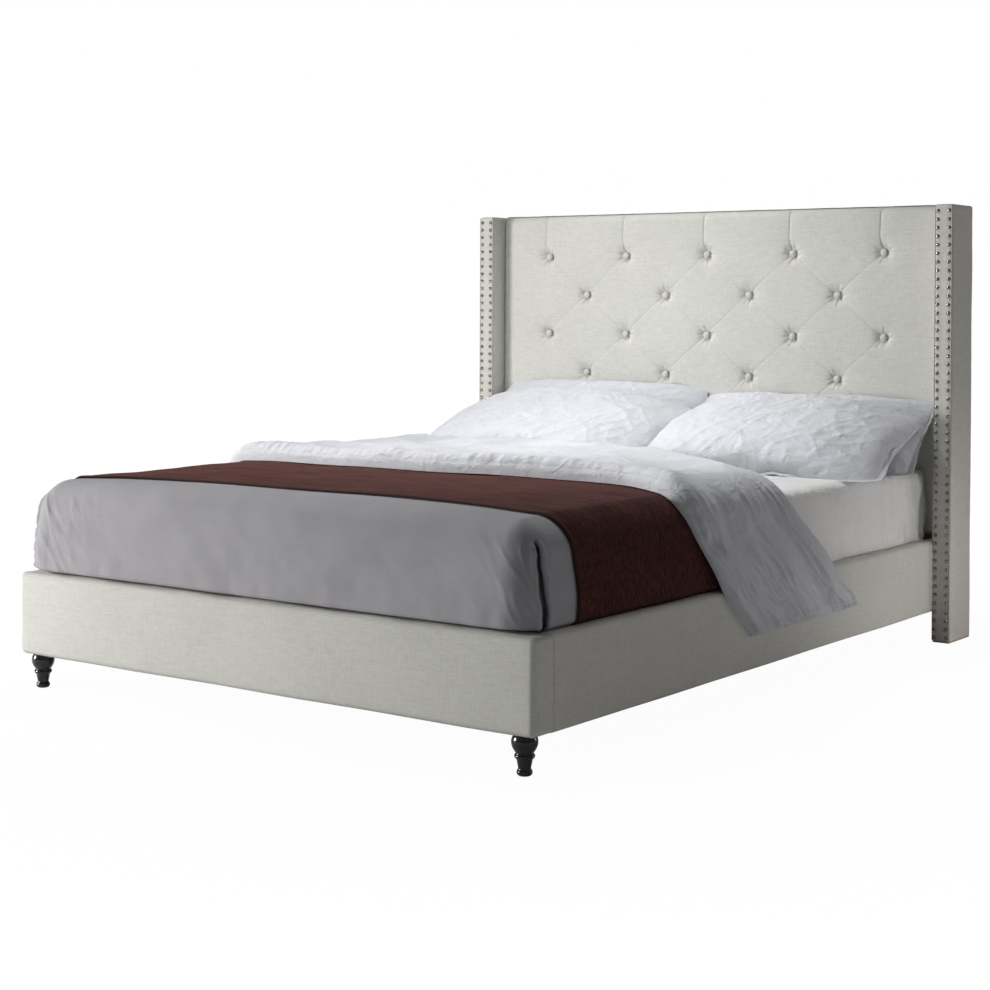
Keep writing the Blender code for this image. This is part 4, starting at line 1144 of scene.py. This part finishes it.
def finish_nodes():
    """Give every CAD node that stays in view its procedural material."""
    along = ("ledger", "rail_board", "support_rail")
    upright = ("stile", "core", "leg")
    for name, obj in NODES.items():
        surface = PINE
        if any(word in name for word in ("bracket", "bolt", "stud")):
            surface = ZINC
        elif "glide" in name:
            surface = BLACK_PLASTIC
        elif "face_board" in name:
            surface = PLYWOOD
        elif "tufting" in name:
            surface = LINEN
        elif name.startswith(("left", "right", "centre", "foot_end", "head_end")):
            if any(word in name for word in upright):
                surface = PINE_UPRIGHT
            elif any(word in name for word in along):
                surface = PINE_ALONG
        obj.data.materials.clear()
        obj.data.materials.append(surface)


# ---------------- camera, light and floor

def aim(obj, place, target):
    obj.location = place
    obj.rotation_euler = (Vector(target) - Vector(place)).to_track_quat("-Z", "Y").to_euler()


def make_camera():
    camera = bpy.data.objects.new("camera", bpy.data.cameras.new("camera"))
    bpy.context.scene.collection.objects.link(camera)
    place = (3.033, -4.316, 0.988)
    yaw, pitch, roll = math.radians(36.02), -0.012, 0.005
    ahead = Vector((-math.sin(yaw) * math.cos(pitch), math.cos(yaw) * math.cos(pitch),
                    math.sin(pitch)))
    turn = ahead.to_track_quat("-Z", "Y").to_matrix() @ Matrix.Rotation(roll, 3, "Z")
    camera.matrix_world = Matrix.Translation(place) @ turn.to_4x4()
    camera.data.lens = 68.55
    camera.data.sensor_width = 36.0
    camera.data.shift_y = -0.168
    camera.data.clip_end = 60.0
    bpy.context.scene.camera = camera


def area_light(name, place, target, size, power, colour=(1, 1, 1), spread=180):
    light = bpy.data.lights.new(name, "AREA")
    light.shape = "RECTANGLE"
    light.size, light.size_y = size
    light.energy = power
    light.color = colour
    light.spread = math.radians(spread)
    obj = bpy.data.objects.new(name, light)
    bpy.context.scene.collection.objects.link(obj)
    obj.visible_camera = False
    aim(obj, place, target)


def seen_mix(tree, unseen, seen, share=1.0):
    """Shader that the camera sees as one thing while light meets another."""
    ray = add_node(tree, "LightPath").outputs["Is Camera Ray"]
    part = add_node(tree, "Math", {0: ray, 1: share}, operation="MULTIPLY").outputs[0]
    return add_node(tree, "MixShader", {0: part, 1: unseen, 2: seen}).outputs[0]


def make_world():
    """Dim, cool surroundings that the camera sees as plain white."""
    world = bpy.data.worlds.new("studio")
    bpy.context.scene.world = world
    world.use_nodes = True
    tree = world.node_tree
    surroundings = tree.nodes["Background"]
    surroundings.inputs[0].default_value = (0.97, 0.98, 1.0, 1.0)
    surroundings.inputs[1].default_value = 0.13
    backdrop = add_node(tree, "Background", {0: (1, 1, 1, 1), 1: 1.0}).outputs[0]
    mixed = seen_mix(tree, surroundings.outputs[0], backdrop)
    tree.links.new(mixed, tree.nodes["World Output"].inputs[0])
    bpy.context.scene.view_settings.view_transform = "Standard"


def make_lights():
    large = (1.0, 1.0)
    area_light("key", (-3.4, -3.2, 1.15), (-0.1, 0.1, 0.6), (1.1, 1.1), 157, (1.0, 0.995, 0.98))
    area_light("overhead", (-0.4, 0.10, 2.8), (0.05, 0.12, 0.5), large, 12.5, spread=82)
    area_light("right_fill", (3.4, 2.8, 0.9), (0.8, 0.7, 0.25), large, 13, (1.0, 0.93, 0.89))
    area_light("right_kick", (3.4, 0.9, 0.35), (0.8, 0.74, 0.18), (0.4, 0.4), 0.5,
               (1.0, 0.97, 0.95), 30)


def make_floor():
    """Pale floor that fades to white away from the bed."""
    half, clear = 30.0, 0.0005
    corners = [(x, y, 0) for x, y in ((-half, -half), (half, -half), (half, half), (-half, half))]
    made = Surface("pale_floor", {"Roughness": 0.7, "Specular IOR Level": 0.1})
    made.colour(made.speckle(1.5, 4.0), (0.3, (0.78,) * 3), (0.7, (0.82,) * 3))
    glow = made.node("Emission", {0: (1, 1, 1, 1), 1: 1.02}).outputs[0]
    away = made.node("VectorMath", {0: made.place}, operation="LENGTH").outputs["Value"]
    fade = made.node("MapRange", {"Value": away, "From Min": 1.2, "From Max": 3.4,
                                  "To Min": 0.95, "To Max": 1.0}).outputs[0]
    mixed = seen_mix(made.tree, made.shader.outputs[0], glow, fade)
    made.tree.links.new(mixed, made.tree.nodes["Material Output"].inputs["Surface"])
    floor = plain_mesh("floor", corners, [(0, 1, 2, 3)], made.material, smooth_shade=False)
    floor.location.z = -clear


make_pad()
make_buttons()
make_wings()
make_headboard_rest()
make_foot_rail()
make_side_rails()
make_feet()
make_mattress()
make_coverlet()
make_runner()
make_duvet()
make_pillows()
finish_nodes()
make_camera()
make_world()
make_lights()
make_floor()
